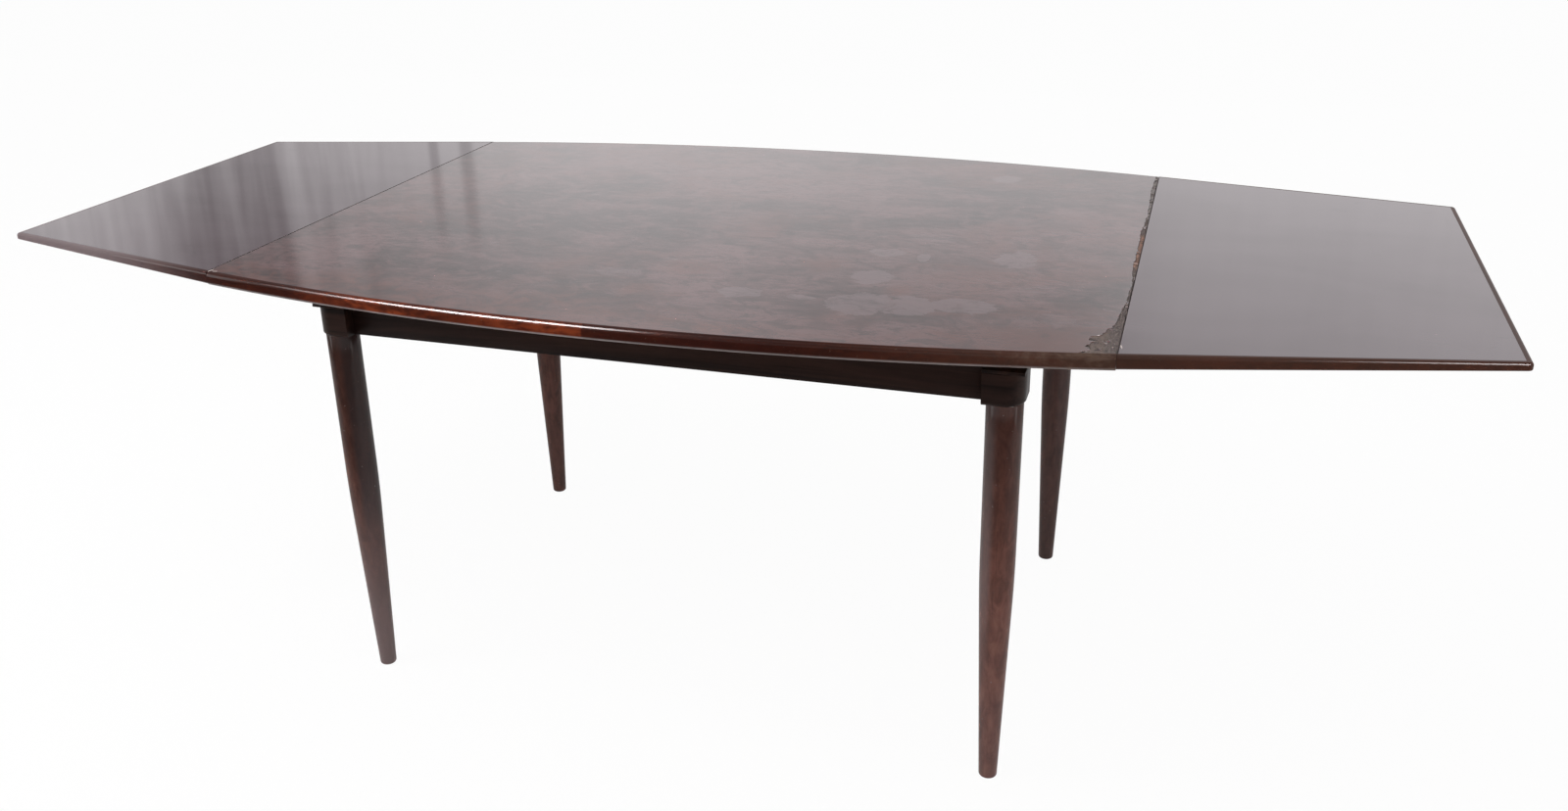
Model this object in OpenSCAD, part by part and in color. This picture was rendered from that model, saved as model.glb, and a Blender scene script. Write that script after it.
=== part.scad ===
// Draw-leaf table, drawn with both leaves out.
// X runs along the length, Y across, Z up. The origin is on the floor under the middle of the top.

/* [Main top] */
// Height of the table top above the floor
table_height = 735; // [700:1:780]
// Length of the main top, seam to seam
top_length = 1332; // [1200:1:1500]
// Width of the main top at its two seams
top_end_width = 908; // [840:1:960]
// Width of the main top at its middle
top_mid_width = 1044; // [980:1:1100]
// Thickness of the main top
top_thickness = 21; // [19:0.5:26]
// Thickness of the face and backing veneers
veneer = 0.8; // [0.5:0.1:1.2]
// Width of the solid lippings round the boards
lipping = 8; // [5:0.5:14]
// Radius that rounds the upper edge of the main top's lippings
upper_round = 7; // [1:0.5:7.5]
// Radius that rounds the lower edge of the main top's lippings
lower_round = 6; // [1:0.5:7.5]

/* [Leaves] */
// Length of one leaf
leaf_length = 466; // [400:1:480]
// Width of a leaf at its outer end
leaf_tip_width = 708; // [640:1:800]
// Thickness of a leaf at the seam
leaf_seam_thickness = 18; // [16:0.5:19]
// Thickness of a leaf at its outer end
leaf_tip_thickness = 10; // [9:0.5:14]
// Radius that rounds the upper edge of a leaf's lippings
leaf_round = 4.5; // [1:0.5:6]
// Gap between a leaf and the main top
seam_gap = 0.4; // [0.3:0.1:1]
// Travel of a leaf from fully out to fully in
draw = 460; // [400:1:475]
// Air between a stowed leaf and the main top above it
stow_gap = 2; // [1:0.5:3]

/* [Legs] */
// Distance between the leg axes along the table
leg_pitch_x = 1040; // [940:1:1060]
// Distance between the leg axes across the table
leg_pitch_y = 680; // [640:1:700]
// Diameter of a leg at its top
leg_top_d = 51; // [46:1:56]
// Diameter of a leg where its taper starts
leg_waist_d = 50; // [44:1:54]
// Height at which the taper starts
leg_waist_z = 340; // [280:1:400]
// Length of leg over which the taper blends into the straight part
leg_blend = 90; // [40:1:120]
// Diameter of a leg at the floor
leg_foot_d = 27; // [22:1:36]
// Radius that rounds the edge of the foot
foot_round = 4; // [2:0.5:6]
// Diameter of the bolt that joins a leg to its block
leg_bolt_d = 10; // [6:1:12]
// Length of that bolt in the leg and again in the block
leg_bolt_reach = 36; // [25:1:40]

/* [Frame] */
// Depth of the aprons, rails and corner blocks
apron_depth = 47; // [44:1:60]
// Thickness of the long aprons and the end rails
apron_thickness = 20; // [18:1:25]
// How far the aprons and rails stand back from the face of the blocks
apron_setback = 19; // [12:1:22]
// Side of a square corner block
block_size = 57; // [54:1:64]
// Radius of the outer corner of a block
block_round = 28; // [15:1:30]
// Bevel round the lower outer edge of a block
block_bevel = 3; // [1:0.5:5]
// Thickness of the strips that cap the ends of the frame
cap_thickness = 5; // [4:0.5:8]
// Diameter of the dowels in the corners of the frame
dowel_d = 10; // [8:1:12]
// Length of those dowels
dowel_length = 40; // [30:1:44]

/* [Centre board] */
// Length of the centre board along the table
centre_length = 400; // [300:1:404]
// Thickness of the centre board
centre_thickness = 21; // [18:0.5:22]
// Width of the bearers that carry the centre board
bearer_width = 30; // [24:1:32]
// Width of the rails that hold the loper tails down
hold_rail_width = 30; // [20:1:40]
// Place of the inner face of a hold-down rail, from the middle of the table
hold_rail_x = 87; // [80:1:110]
// Diameter of the guide pegs under the main top
peg_d = 20; // [14:1:26]
// How far the guide pegs stand into the centre board
peg_reach = 18; // [12:1:18]
// Distance between the two guide pegs
peg_pitch = 280; // [200:1:300]
// Air round a guide peg in its hole
peg_gap = 0.6; // [0.4:0.1:1]

/* [Lopers] */
// Width of a loper
loper_width = 28; // [22:1:30]
// Depth of a loper between its parallel sloping faces
loper_depth = 36; // [30:1:38]
// Distance of the right leaf's lopers from the middle of the table
lane_right = 230; // [200:1:236]
// Distance of the left leaf's lopers from the middle of the table
lane_left = 270; // [266:1:280]
// Distance from the middle of the table to the end of a loper's tail
tail_x = 62; // [40:1:70]
// Distance that the lopers stop short of the leaf's outer end
loper_setback = 130; // [90:1:200]
// Length over which a loper tapers to its outer end
loper_taper = 48; // [20:1:80]
// Depth of a loper at its outer end
loper_nose = 16; // [10:1:24]
// Length of the block on a tail that stops the leaf
stop_length = 20; // [12:1:24]
// Height of that block
stop_height = 7; // [5:0.5:8]
// Width of the guide blocks beside a loper
guide_width = 20; // [14:1:24]
// Length of the guide blocks
guide_length = 45; // [30:1:55]
// Height of the guide blocks
guide_height = 23; // [16:1:25]

// Travel left in a leaf, past its place against the main top, before it meets its stop
stop_play = 5; // [4.8:0.1:6]

/* [Fasteners and fits] */
// How far a guide block's screw bites into the end rail
guide_bite = 12; // [8:1:13]
// How far the screws of the bearers bite into the aprons
bearer_bite = 20; // [10:1:30]
// How far the screws of the centre board bite into its bearers
centre_bite = 18; // [10:1:28]
// How far the screws of the hold-down rails bite into the centre board
hold_bite = 12; // [6:1:18]
// How far the screws of a loper bite into the leaf
leaf_bite = 6; // [4:0.5:7]
// Thickness of loper that the head of such a screw grips
loper_grip = 12; // [8:1:16]
// Diameter of the wood screws
screw_d = 4; // [3:0.5:5]
// Diameter of their heads
screw_head_d = 8; // [6:0.5:9]
// Air between pieces that slide past each other
run_gap = 0.3; // [0.2:0.1:0.5]
// Air round a fastener or dowel in its hole
fit_gap = 0.1; // [0.05:0.05:0.2]

/* [Hidden] */
$fn = 96;
far = 4000;
slack = 1;
quarter = 90;
// Heights of a corner's dowels, as shares of the apron's depth
dowel_heights = [0.22, 0.58];
// Places of the screws, as shares of the piece that they hold
bearer_shares = [-0.4, 0, 0.4];
centre_shares = [-0.3, 0.3];
hold_shares = [-0.7, 0, 0.7];
loper_shares = [0.15, 0.5, 0.8];
// Steps of the leg's blend, of the round of its foot and of the main top's curved sides
blend_steps = 6;
foot_steps = 6;
side_steps = 720;
// How far a moulding cutter turns past both ends of a curved side, in degrees
spare_turn = 1;

wood_dark = [0.30, 0.13, 0.09];
wood_black = [0.14, 0.07, 0.05];
wood_face = [0.46, 0.29, 0.24];
wood_inner = [0.66, 0.50, 0.34];
wood_plain = [0.72, 0.60, 0.44];
steel = [0.62, 0.62, 0.60];

// Heights, from the top down
top_under = table_height - top_thickness;
face_under = table_height - veneer;
leaf_under = table_height - leaf_seam_thickness;
centre_under = top_under - centre_thickness;
leaf_drop = top_thickness + stow_gap;
loper_slope = leaf_drop / draw;

// Plan of the main top: its long sides are arcs of one circle each
seam_x = top_length / 2;
end_y = top_end_width / 2;
mid_y = top_mid_width / 2;
bow = mid_y - end_y;
side_r = (seam_x * seam_x + bow * bow) / (2 * bow);
side_centre = mid_y - side_r;

// Plan of a leaf, which is drawn at the right end
leaf_x0 = seam_x + seam_gap;
leaf_x1 = leaf_x0 + leaf_length;
tip_y = leaf_tip_width / 2;
leaf_turn = atan((end_y - tip_y) / leaf_length);
side_lipping_y = lipping / cos(leaf_turn);

// Plan of the frame
leg_x = leg_pitch_x / 2;
leg_y = leg_pitch_y / 2;
block_half = block_size / 2;
block_in_x = leg_x - block_half;
block_in_y = leg_y - block_half;
block_out_x = leg_x + block_half;
block_out_y = leg_y + block_half;
cap_in_x = block_in_x;
apron_out_y = block_out_y - apron_setback;
apron_in_y = apron_out_y - apron_thickness;
rail_out_x = block_out_x - apron_setback;
rail_in_x = rail_out_x - apron_thickness;
bearer_in_y = apron_out_y - bearer_width;

// Heights of the frame: a loper lies on the inner edge of the cap strip, its tail passes under the
// hold-down rail, and the block on the tail meets that rail
hold_rail_out_x = hold_rail_x + hold_rail_width;
hold_rail_depth = stop_height + 2 * run_gap + loper_slope * (hold_rail_width + stop_play);
loper_rise = loper_depth - loper_slope * (cap_in_x - hold_rail_out_x) + 2 * run_gap;
bearer_height = cap_thickness + loper_rise + hold_rail_depth;
frame_top = centre_under - bearer_height;
frame_bottom = frame_top - apron_depth;
cap_top = frame_top + cap_thickness;

// Lopers, drawn at the right end
loper_x1 = leaf_x1 - loper_setback;
stop_x1 = hold_rail_x - stop_play;
stop_x0 = stop_x1 - stop_length;

function loper_low(x) = cap_top + run_gap + loper_slope * (x - cap_in_x);
function loper_high(x) = loper_low(x) + loper_depth;
function leaf_low(x) = leaf_under
    + (leaf_seam_thickness - leaf_tip_thickness) * (x - leaf_x0) / leaf_length;
function lane(side) = side > 0 ? lane_right : lane_left;

// Shapes that repeat

module at_side(side) {
    if (side > 0) children();
    else mirror([1, 0, 0]) children();
}

module at_face(face) {
    if (face > 0) children();
    else mirror([0, 1, 0]) children();
}

module at_corner(side, face) {
    at_side(side) at_face(face) children();
}

// An outline in X and Z, drawn through the table from low to high in Y
module across(low, high) {
    translate([0, high, 0]) rotate([90, 0, 0]) linear_extrude(high - low) children();
}

module board(x0, x1, y0, y1, z0, z1) {
    translate([x0, y0, z0]) cube([x1 - x0, y1 - y0, z1 - z0]);
}

// A wood screw with its head at the origin, pointing down
module screw(length, grow = 0) {
    head = (screw_head_d - screw_d) / 2;
    translate([0, 0, -length - grow]) cylinder(d = screw_d + 2 * grow, h = length + grow);
    translate([0, 0, -head]) cylinder(d1 = screw_d + 2 * grow, d2 = screw_head_d + 2 * grow, h = head);
    if (grow > 0) cylinder(d = screw_head_d + 2 * grow, h = slack);
}

// The corner between two straight edges that a round of radius r takes away
module round_cut(r) {
    difference() {
        translate([-r, -r]) square(r + slack);
        translate([-r, -r]) circle(r);
    }
}

// Legs

function blend_r(t) = (1 - t) * (1 - t) * straight_r(leg_waist_z + leg_blend / 2)
    + 2 * t * (1 - t) * leg_waist_d / 2 + t * t * taper_r(leg_waist_z - leg_blend / 2);
function straight_r(z) = leg_waist_d / 2
    + (leg_top_d - leg_waist_d) / 2 * (z - leg_waist_z) / (frame_bottom - leg_waist_z);
function taper_r(z) = leg_foot_d / 2 + (leg_waist_d - leg_foot_d) / 2 * z / leg_waist_z;

module leg_outline() {
    foot = taper_r(foot_round);
    polygon(concat(
        [[0, 0], [foot - foot_round, 0]],
        [for (i = [1 : foot_steps - 1]) let (a = i * quarter / foot_steps)
            [foot - foot_round + foot_round * sin(a), foot_round - foot_round * cos(a)]],
        [[foot, foot_round]],
        [for (i = [blend_steps : -1 : 0]) let (t = i / blend_steps)
            [blend_r(t), leg_waist_z + leg_blend / 2 - t * leg_blend]],
        [[leg_top_d / 2, frame_bottom], [0, frame_bottom]]
    ));
}

module leg_bolt(grow = 0) {
    translate([leg_x, leg_y, frame_bottom - leg_bolt_reach - grow])
        cylinder(d = leg_bolt_d + 2 * grow, h = 2 * (leg_bolt_reach + grow));
}

module leg(side, face) {
    color(wood_dark) at_corner(side, face) difference() {
        translate([leg_x, leg_y, 0]) rotate_extrude() leg_outline();
        leg_bolt(fit_gap);
    }
}

module leg_bolts() {
    color(steel) for (side = [-1, 1], face = [-1, 1]) at_corner(side, face) leg_bolt();
}

// Frame

// The dowels of one corner: two into the apron and two into the end rail
module corner_dowels(grow = 0) {
    d = dowel_d + 2 * grow;
    l = dowel_length + 2 * grow;
    for (z = dowel_heights) translate([0, 0, frame_bottom + z * apron_depth]) {
        translate([block_in_x - l / 2, (apron_in_y + apron_out_y) / 2, 0]) rotate([0, 90, 0])
            cylinder(d = d, h = l);
        translate([(rail_in_x + rail_out_x) / 2, block_in_y + l / 2, 0]) rotate([90, 0, 0])
            cylinder(d = d, h = l);
    }
}

module frame_dowels() {
    color(wood_plain) for (side = [-1, 1], face = [-1, 1]) at_corner(side, face) corner_dowels();
}

// Outline of a block, rounded at its outer corner
module block_outline() {
    translate([block_in_x, block_in_y]) square([block_size, block_size - block_round]);
    translate([block_in_x, block_in_y]) square([block_size - block_round, block_size]);
    translate([block_out_x - block_round, block_out_y - block_round]) circle(block_round);
}

module block(side, face) {
    x = block_out_x - block_round;
    y = block_out_y - block_round;
    color(wood_dark) at_corner(side, face) difference() {
        union() {
            translate([0, 0, frame_bottom + block_bevel]) linear_extrude(apron_depth - block_bevel)
                block_outline();
            // The bevel: a cone round the corner and a sloping prism on each outer face
            translate([x, y, frame_bottom])
                cylinder(r1 = block_round - block_bevel, r2 = block_round, h = block_bevel);
            across(block_in_y, y) polygon([
                [block_in_x, frame_bottom], [block_out_x - block_bevel, frame_bottom],
                [block_out_x, frame_bottom + block_bevel], [block_in_x, frame_bottom + block_bevel]
            ]);
            translate([block_in_x, 0, 0]) rotate([90, 0, 90]) linear_extrude(x - block_in_x) polygon([
                [block_in_y, frame_bottom], [block_out_y - block_bevel, frame_bottom],
                [block_out_y, frame_bottom + block_bevel], [block_in_y, frame_bottom + block_bevel]
            ]);
        }
        leg_bolt(fit_gap);
        corner_dowels(fit_gap);
    }
}

module apron(face) {
    color(wood_dark) at_face(face) difference() {
        board(-block_in_x, block_in_x, apron_in_y, apron_out_y, frame_bottom, frame_top);
        for (side = [-1, 1]) at_side(side) corner_dowels(fit_gap);
        bearer_screw_set(fit_gap);
    }
}

module end_rail(side) {
    color(wood_dark) at_side(side) difference() {
        board(rail_in_x, rail_out_x, -block_in_y, block_in_y, frame_bottom, frame_top);
        for (face = [-1, 1]) at_face(face) corner_dowels(fit_gap);
        guide_screw_set(side, fit_gap);
    }
}

module cap_strip(side) {
    color(wood_black) at_side(side) difference() {
        board(cap_in_x, block_out_x, -block_out_y, block_out_y, frame_top, cap_top);
        guide_screw_set(side, fit_gap);
    }
}

// Two guide blocks stand on the cap strip beside each loper
module at_guides(side) {
    reach = loper_width / 2 + run_gap + guide_width / 2;
    for (face = [-1, 1], edge = [-1, 1])
        translate([(rail_in_x + rail_out_x) / 2, face * lane(side) + edge * reach, cap_top]) children();
}

module guide_screw_set(side, grow = 0) {
    at_guides(side) translate([0, 0, guide_height]) screw(guide_height + cap_thickness + guide_bite, grow);
}

module guide_screws() {
    color(steel) for (side = [-1, 1]) at_side(side) guide_screw_set(side);
}

module loper_guides(side) {
    color(wood_inner) at_side(side) difference() {
        at_guides(side) translate([-guide_length / 2, -guide_width / 2, 0])
            cube([guide_length, guide_width, guide_height]);
        guide_screw_set(side, fit_gap);
    }
}

// Centre board, its bearers and the rails that hold the tails of the lopers down

module bearer_screw_set(grow = 0) {
    for (x = bearer_shares)
        translate([x * centre_length, (apron_in_y + apron_out_y) / 2, centre_under])
            screw(bearer_height + bearer_bite, grow);
}

module bearer_screws() {
    color(steel) for (face = [-1, 1]) at_face(face) bearer_screw_set();
}

module bearer(face) {
    color(wood_inner) at_face(face) difference() {
        board(-centre_length / 2, centre_length / 2, bearer_in_y, apron_out_y, frame_top, centre_under);
        bearer_screw_set(fit_gap);
        centre_screw_set(fit_gap);
    }
}

module centre_screw_set(grow = 0) {
    for (x = centre_shares)
        translate([x * centre_length, bearer_in_y + bearer_width / 2, top_under - slack])
            screw(centre_thickness + centre_bite, grow);
}

module centre_board_screws() {
    color(steel) for (face = [-1, 1]) at_face(face) centre_screw_set();
}

module centre_board() {
    color(wood_inner) difference() {
        board(-centre_length / 2, centre_length / 2, -apron_out_y, apron_out_y, centre_under,
            top_under);
        for (x = [-1, 1]) translate([x * peg_pitch / 2, 0, centre_under - slack])
            cylinder(d = peg_d + 2 * peg_gap, h = centre_thickness + 2 * slack);
        for (face = [-1, 1]) at_face(face) centre_screw_set(fit_gap);
        for (side = [-1, 1]) at_side(side) hold_screw_set(fit_gap);
    }
}

// Screws that rise from a hold-down rail into the centre board
module hold_screw_set(grow = 0) {
    for (y = hold_shares)
        translate([hold_rail_x + hold_rail_width / 2, y * bearer_in_y, centre_under - hold_rail_depth])
            mirror([0, 0, 1]) screw(hold_rail_depth + hold_bite, grow);
}

module hold_rail_screws() {
    color(steel) for (side = [-1, 1]) at_side(side) hold_screw_set();
}

module hold_rail(side) {
    color(wood_inner) at_side(side) difference() {
        board(hold_rail_x, hold_rail_out_x, -bearer_in_y, bearer_in_y,
            centre_under - hold_rail_depth, centre_under);
        hold_screw_set(fit_gap);
    }
}

// Main top

// The space between the two long curved sides, each drawn in by the same amount
module between_sides(inset, z0, z1) {
    translate([0, 0, z0]) linear_extrude(z1 - z0) intersection_for (face = [-1, 1])
        translate([0, face * side_centre]) circle(side_r - inset, $fn = side_steps);
}

module top_panel(inset, x_inset, z0, z1) {
    intersection() {
        between_sides(inset, z0, z1);
        board(-seam_x + x_inset, seam_x - x_inset, -far, far, z0 - slack, z1 + slack);
    }
}

module peg_set(grow = 0) {
    for (x = [-1, 1]) translate([x * peg_pitch / 2, 0, top_under - peg_reach - grow])
        cylinder(d = peg_d + 2 * grow, h = peg_reach + 2 * grow + top_thickness / 2);
}

module top_core() {
    color(wood_plain) difference() {
        top_panel(lipping, lipping, top_under + veneer, face_under);
        peg_set(fit_gap);
    }
}

module top_backing() {
    color(wood_inner) difference() {
        top_panel(lipping, lipping, top_under, top_under + veneer);
        peg_set(fit_gap);
    }
}

module top_veneer() {
    color(wood_face) top_panel(lipping, 0, face_under, table_height);
}

// Cuts an outline, drawn at the edge of the main top, out of one of its curved sides
module side_moulding() {
    turn = 2 * asin(seam_x / side_r) + spare_turn;
    translate([0, side_centre, 0]) rotate([0, 0, quarter - turn / 2])
        rotate_extrude(angle = turn, $fn = side_steps) translate([side_r, 0]) children();
}

module top_side_lipping(face) {
    color(wood_dark) at_face(face) difference() {
        intersection() {
            top_panel(0, 0, top_under, table_height);
            board(-seam_x, seam_x, 0, far, 0, far);
        }
        between_sides(lipping, top_under - slack, table_height + slack);
        side_moulding() translate([0, table_height]) round_cut(upper_round);
        side_moulding() translate([0, top_under]) mirror([0, 1]) round_cut(lower_round);
    }
}

module top_end_lipping(side) {
    color(wood_dark) at_side(side) intersection() {
        between_sides(lipping, top_under, face_under);
        board(seam_x - lipping, seam_x, -far, far, 0, far);
    }
}

module guide_pegs() {
    color(wood_plain) peg_set();
}

// Leaves, drawn at the right end

// A slice of the leaf between two heights above the sloping underside
module leaf_slab(x0, x1, z1) {
    across(-end_y, end_y) polygon([[x0, leaf_low(x0)], [x1, leaf_low(x1)], [x1, z1], [x0, z1]]);
}

module leaf_plan(x0, x1, inset) {
    rise = (end_y - tip_y) / leaf_length;
    y0 = end_y - rise * (x0 - leaf_x0) - inset;
    y1 = end_y - rise * (x1 - leaf_x0) - inset;
    linear_extrude(far) polygon([[x0, -y0], [x1, -y1], [x1, y1], [x0, y0]]);
}

module leaf_core(side) {
    x0 = leaf_x0 + lipping;
    x1 = leaf_x1 - lipping;
    color(wood_plain) at_side(side) difference() {
        intersection() {
            leaf_slab(x0, x1, face_under);
            leaf_plan(x0, x1, side_lipping_y);
        }
        loper_screw_set(side, fit_gap);
    }
}

module leaf_veneer(side) {
    color(wood_face) at_side(side) intersection() {
        board(leaf_x0, leaf_x1 - lipping, -far, far, face_under, table_height);
        leaf_plan(leaf_x0, leaf_x1 - lipping, side_lipping_y);
    }
}

module leaf_side_lipping(side, face) {
    color(wood_dark) at_corner(side, face) difference() {
        intersection() {
            leaf_slab(leaf_x0, leaf_x1, table_height);
            leaf_plan(leaf_x0, leaf_x1, 0);
            board(leaf_x0, leaf_x1, 0, far, 0, far);
        }
        leaf_plan(leaf_x0 - slack, leaf_x1 + slack, side_lipping_y);
        // The rounded upper edge
        translate([leaf_x0, end_y, table_height]) rotate([0, 0, -leaf_turn]) rotate([90, 0, 90])
            translate([0, 0, -slack]) linear_extrude(2 * leaf_length) round_cut(leaf_round);
        leaf_outer_round();
    }
}

module leaf_outer_round() {
    translate([leaf_x1, far / 2, table_height]) rotate([90, 0, 0]) linear_extrude(far)
        round_cut(leaf_round);
}

module leaf_outer_lipping(side) {
    color(wood_dark) at_side(side) difference() {
        intersection() {
            leaf_slab(leaf_x1 - lipping, leaf_x1, table_height);
            leaf_plan(leaf_x1 - lipping, leaf_x1, side_lipping_y);
        }
        leaf_outer_round();
    }
}

module leaf_inner_lipping(side) {
    color(wood_dark) at_side(side) intersection() {
        leaf_slab(leaf_x0, leaf_x0 + lipping, face_under);
        leaf_plan(leaf_x0, leaf_x0 + lipping, side_lipping_y);
    }
}

// The space under the leaf and above the line of a loper's upper face, or below that line
module loper_side_view(x0, above) {
    under_leaf = [[x0, leaf_low(x0)], [loper_x1, leaf_low(loper_x1)]];
    upper_face = [[loper_x1, loper_high(loper_x1)], [x0, loper_high(x0)]];
    if (above) difference() {
        polygon(concat(under_leaf, [[loper_x1, frame_top], [x0, frame_top]]));
        polygon(concat(upper_face, [[x0, frame_bottom], [loper_x1, frame_bottom]]));
    }
    else intersection() {
        polygon(concat([[tail_x, far], [tail_x, frame_bottom], [loper_x1, frame_bottom]],
            [[loper_x1, leaf_low(loper_x1)], [x0, leaf_low(x0)], [x0, far]]));
        polygon([[tail_x, loper_low(tail_x)], [loper_x1 - loper_taper, loper_low(loper_x1 - loper_taper)],
            [loper_x1, leaf_low(loper_x1) - loper_nose], upper_face[0],
            [tail_x, loper_high(tail_x)]]);
    }
}

// A loper has parallel sloping faces, and is planed to the leaf where it would rise above its underside
module loper(side, face) {
    y = lane(side);
    color(wood_inner) at_corner(side, face) difference() {
        across(y - loper_width / 2, y + loper_width / 2) loper_side_view(leaf_x0 + lipping, false);
        loper_screw_set(side, fit_gap);
    }
}

// Thin wedges fill the space between the lopers and the leaf near the seam
module loper_wedges(side) {
    y = lane(side);
    color(wood_plain) at_side(side) difference() {
        for (face = [-1, 1]) at_face(face) across(y - loper_width / 2, y + loper_width / 2)
            loper_side_view(leaf_x0 + lipping, true);
        loper_screw_set(side, fit_gap);
    }
}

module loper_stops(side) {
    y = lane(side);
    color(wood_dark) at_side(side) for (face = [-1, 1]) at_face(face)
        across(y - loper_width / 2, y + loper_width / 2) polygon([
            [stop_x0, loper_high(stop_x0)], [stop_x1, loper_high(stop_x1)],
            [stop_x1, loper_high(stop_x1) + stop_height], [stop_x0, loper_high(stop_x0) + stop_height]
        ]);
}

// Screws that rise through the lopers, from deep counterbores, into the leaf's core
module loper_screw_set(side, grow = 0) {
    for (face = [-1, 1], share = loper_shares) {
        x = leaf_x0 + lipping + share * (loper_x1 - leaf_x0 - lipping);
        translate([x, face * lane(side), leaf_low(x) - loper_grip]) {
            mirror([0, 0, 1]) screw(loper_grip + leaf_bite, grow);
            if (grow > 0) translate([0, 0, -far]) cylinder(d = screw_head_d + 2 * grow, h = far);
        }
    }
}

module loper_screws(side) {
    color(steel) at_side(side) loper_screw_set(side);
}

leg(-1, -1);  // leg_front_left
leg(1, -1);  // leg_front_right
leg(-1, 1);  // leg_rear_left
leg(1, 1);  // leg_rear_right
leg_bolts();
block(-1, -1);  // block_front_left
block(1, -1);  // block_front_right
block(-1, 1);  // block_rear_left
block(1, 1);  // block_rear_right
apron(-1);  // apron_front
apron(1);  // apron_rear
end_rail(-1);  // end_rail_left
end_rail(1);  // end_rail_right
frame_dowels();
cap_strip(-1);  // cap_strip_left
cap_strip(1);  // cap_strip_right
loper_guides(-1);  // loper_guides_left
loper_guides(1);  // loper_guides_right
guide_screws();
bearer(-1);  // bearer_front
bearer(1);  // bearer_rear
bearer_screws();
centre_board();
centre_board_screws();
hold_rail(-1);  // hold_rail_left
hold_rail(1);  // hold_rail_right
hold_rail_screws();
top_core();
top_backing();
top_veneer();
top_side_lipping(-1);  // top_lipping_front
top_side_lipping(1);  // top_lipping_rear
top_end_lipping(-1);  // top_lipping_left
top_end_lipping(1);  // top_lipping_right
guide_pegs();
leaf_core(-1);  // leaf_core_left
leaf_veneer(-1);  // leaf_veneer_left
leaf_side_lipping(-1, -1);  // leaf_lipping_front_left
leaf_side_lipping(-1, 1);  // leaf_lipping_rear_left
leaf_outer_lipping(-1);  // leaf_lipping_outer_left
leaf_inner_lipping(-1);  // leaf_lipping_inner_left
loper(-1, -1);  // loper_front_left
loper(-1, 1);  // loper_rear_left
loper_wedges(-1);  // loper_wedges_left
loper_stops(-1);  // loper_stops_left
loper_screws(-1);  // loper_screws_left
leaf_core(1);  // leaf_core_right
leaf_veneer(1);  // leaf_veneer_right
leaf_side_lipping(1, -1);  // leaf_lipping_front_right
leaf_side_lipping(1, 1);  // leaf_lipping_rear_right
leaf_outer_lipping(1);  // leaf_lipping_outer_right
leaf_inner_lipping(1);  // leaf_lipping_inner_right
loper(1, -1);  // loper_front_right
loper(1, 1);  // loper_rear_right
loper_wedges(1);  // loper_wedges_right
loper_stops(1);  // loper_stops_right
loper_screws(1);  // loper_screws_right
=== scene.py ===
"""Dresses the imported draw-leaf table: lacquered boards with a worn right seam, turned legs, low frame."""
import math
import random

import bmesh
import bpy
from bpy.props import FloatProperty, FloatVectorProperty, IntProperty, PointerProperty
from mathutils import Matrix, Vector, noise


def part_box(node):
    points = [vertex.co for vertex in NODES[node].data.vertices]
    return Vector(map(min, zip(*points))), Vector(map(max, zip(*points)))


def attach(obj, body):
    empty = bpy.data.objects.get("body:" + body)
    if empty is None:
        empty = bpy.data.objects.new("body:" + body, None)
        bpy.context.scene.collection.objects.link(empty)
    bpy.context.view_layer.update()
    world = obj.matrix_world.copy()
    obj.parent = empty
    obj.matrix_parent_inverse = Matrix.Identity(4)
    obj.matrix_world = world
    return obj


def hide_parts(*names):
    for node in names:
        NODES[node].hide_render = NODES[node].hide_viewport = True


bl_info = {
    "name": "Draw-leaf table",
    "version": (1, 0, 0),
    "blender": (4, 5, 0),
    "location": "3D view > Sidebar > Table",
    "description": "Builds the looks of a draw-leaf table round its packed frame",
    "category": "Object",
}

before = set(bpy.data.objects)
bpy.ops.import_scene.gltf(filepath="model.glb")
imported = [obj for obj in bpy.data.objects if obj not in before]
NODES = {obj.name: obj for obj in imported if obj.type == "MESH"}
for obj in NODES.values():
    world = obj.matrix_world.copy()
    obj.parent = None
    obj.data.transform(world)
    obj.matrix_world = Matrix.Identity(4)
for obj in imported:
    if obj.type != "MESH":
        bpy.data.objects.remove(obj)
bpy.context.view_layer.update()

SIDES = {"left": -1, "right": 1}
FACES = {"front": -1, "rear": 1}
X, Y, Z = 0, 1, 2
LOW, HIGH = 0, 1


def reach(node, axis, end):
    """Where one face of a CAD node's box lies."""
    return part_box(node)[end][axis]


# Plan and heights of the boards, from the frame
SEAM_X = reach("top_veneer", X, HIGH)
MID_Y = reach("top_lipping_rear", Y, HIGH)
END_Y = reach("leaf_lipping_rear_right", Y, HIGH)
TOP_Z = reach("top_veneer", Z, HIGH)
FACE_UNDER = reach("top_veneer", Z, LOW)
TOP_UNDER = reach("top_lipping_rear", Z, LOW)
LIPPING = MID_Y - reach("top_veneer", Y, HIGH)
SIDE_R = (SEAM_X ** 2 + (MID_Y - END_Y) ** 2) / (2 * (MID_Y - END_Y))
SIDE_CENTRE = MID_Y - SIDE_R
LEAF_X0 = reach("leaf_veneer_right", X, LOW)
LEAF_X1 = reach("leaf_lipping_outer_right", X, HIGH)
LEAF_LENGTH = LEAF_X1 - LEAF_X0
TIP_INNER = reach("leaf_lipping_rear_right", Y, LOW)
TIP_Y = TIP_INNER + LIPPING * math.hypot(1, (END_Y - TIP_INNER - LIPPING) / LEAF_LENGTH)
LEAF_RISE = (END_Y - TIP_Y) / LEAF_LENGTH
LEAF_SKEW = math.hypot(1, LEAF_RISE)
LEAF_SEAM_LOW = reach("leaf_lipping_inner_right", Z, LOW)
LEAF_TAPER = (reach("leaf_lipping_outer_right", Z, LOW) - LEAF_SEAM_LOW) / (LEAF_LENGTH - LIPPING)
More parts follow.
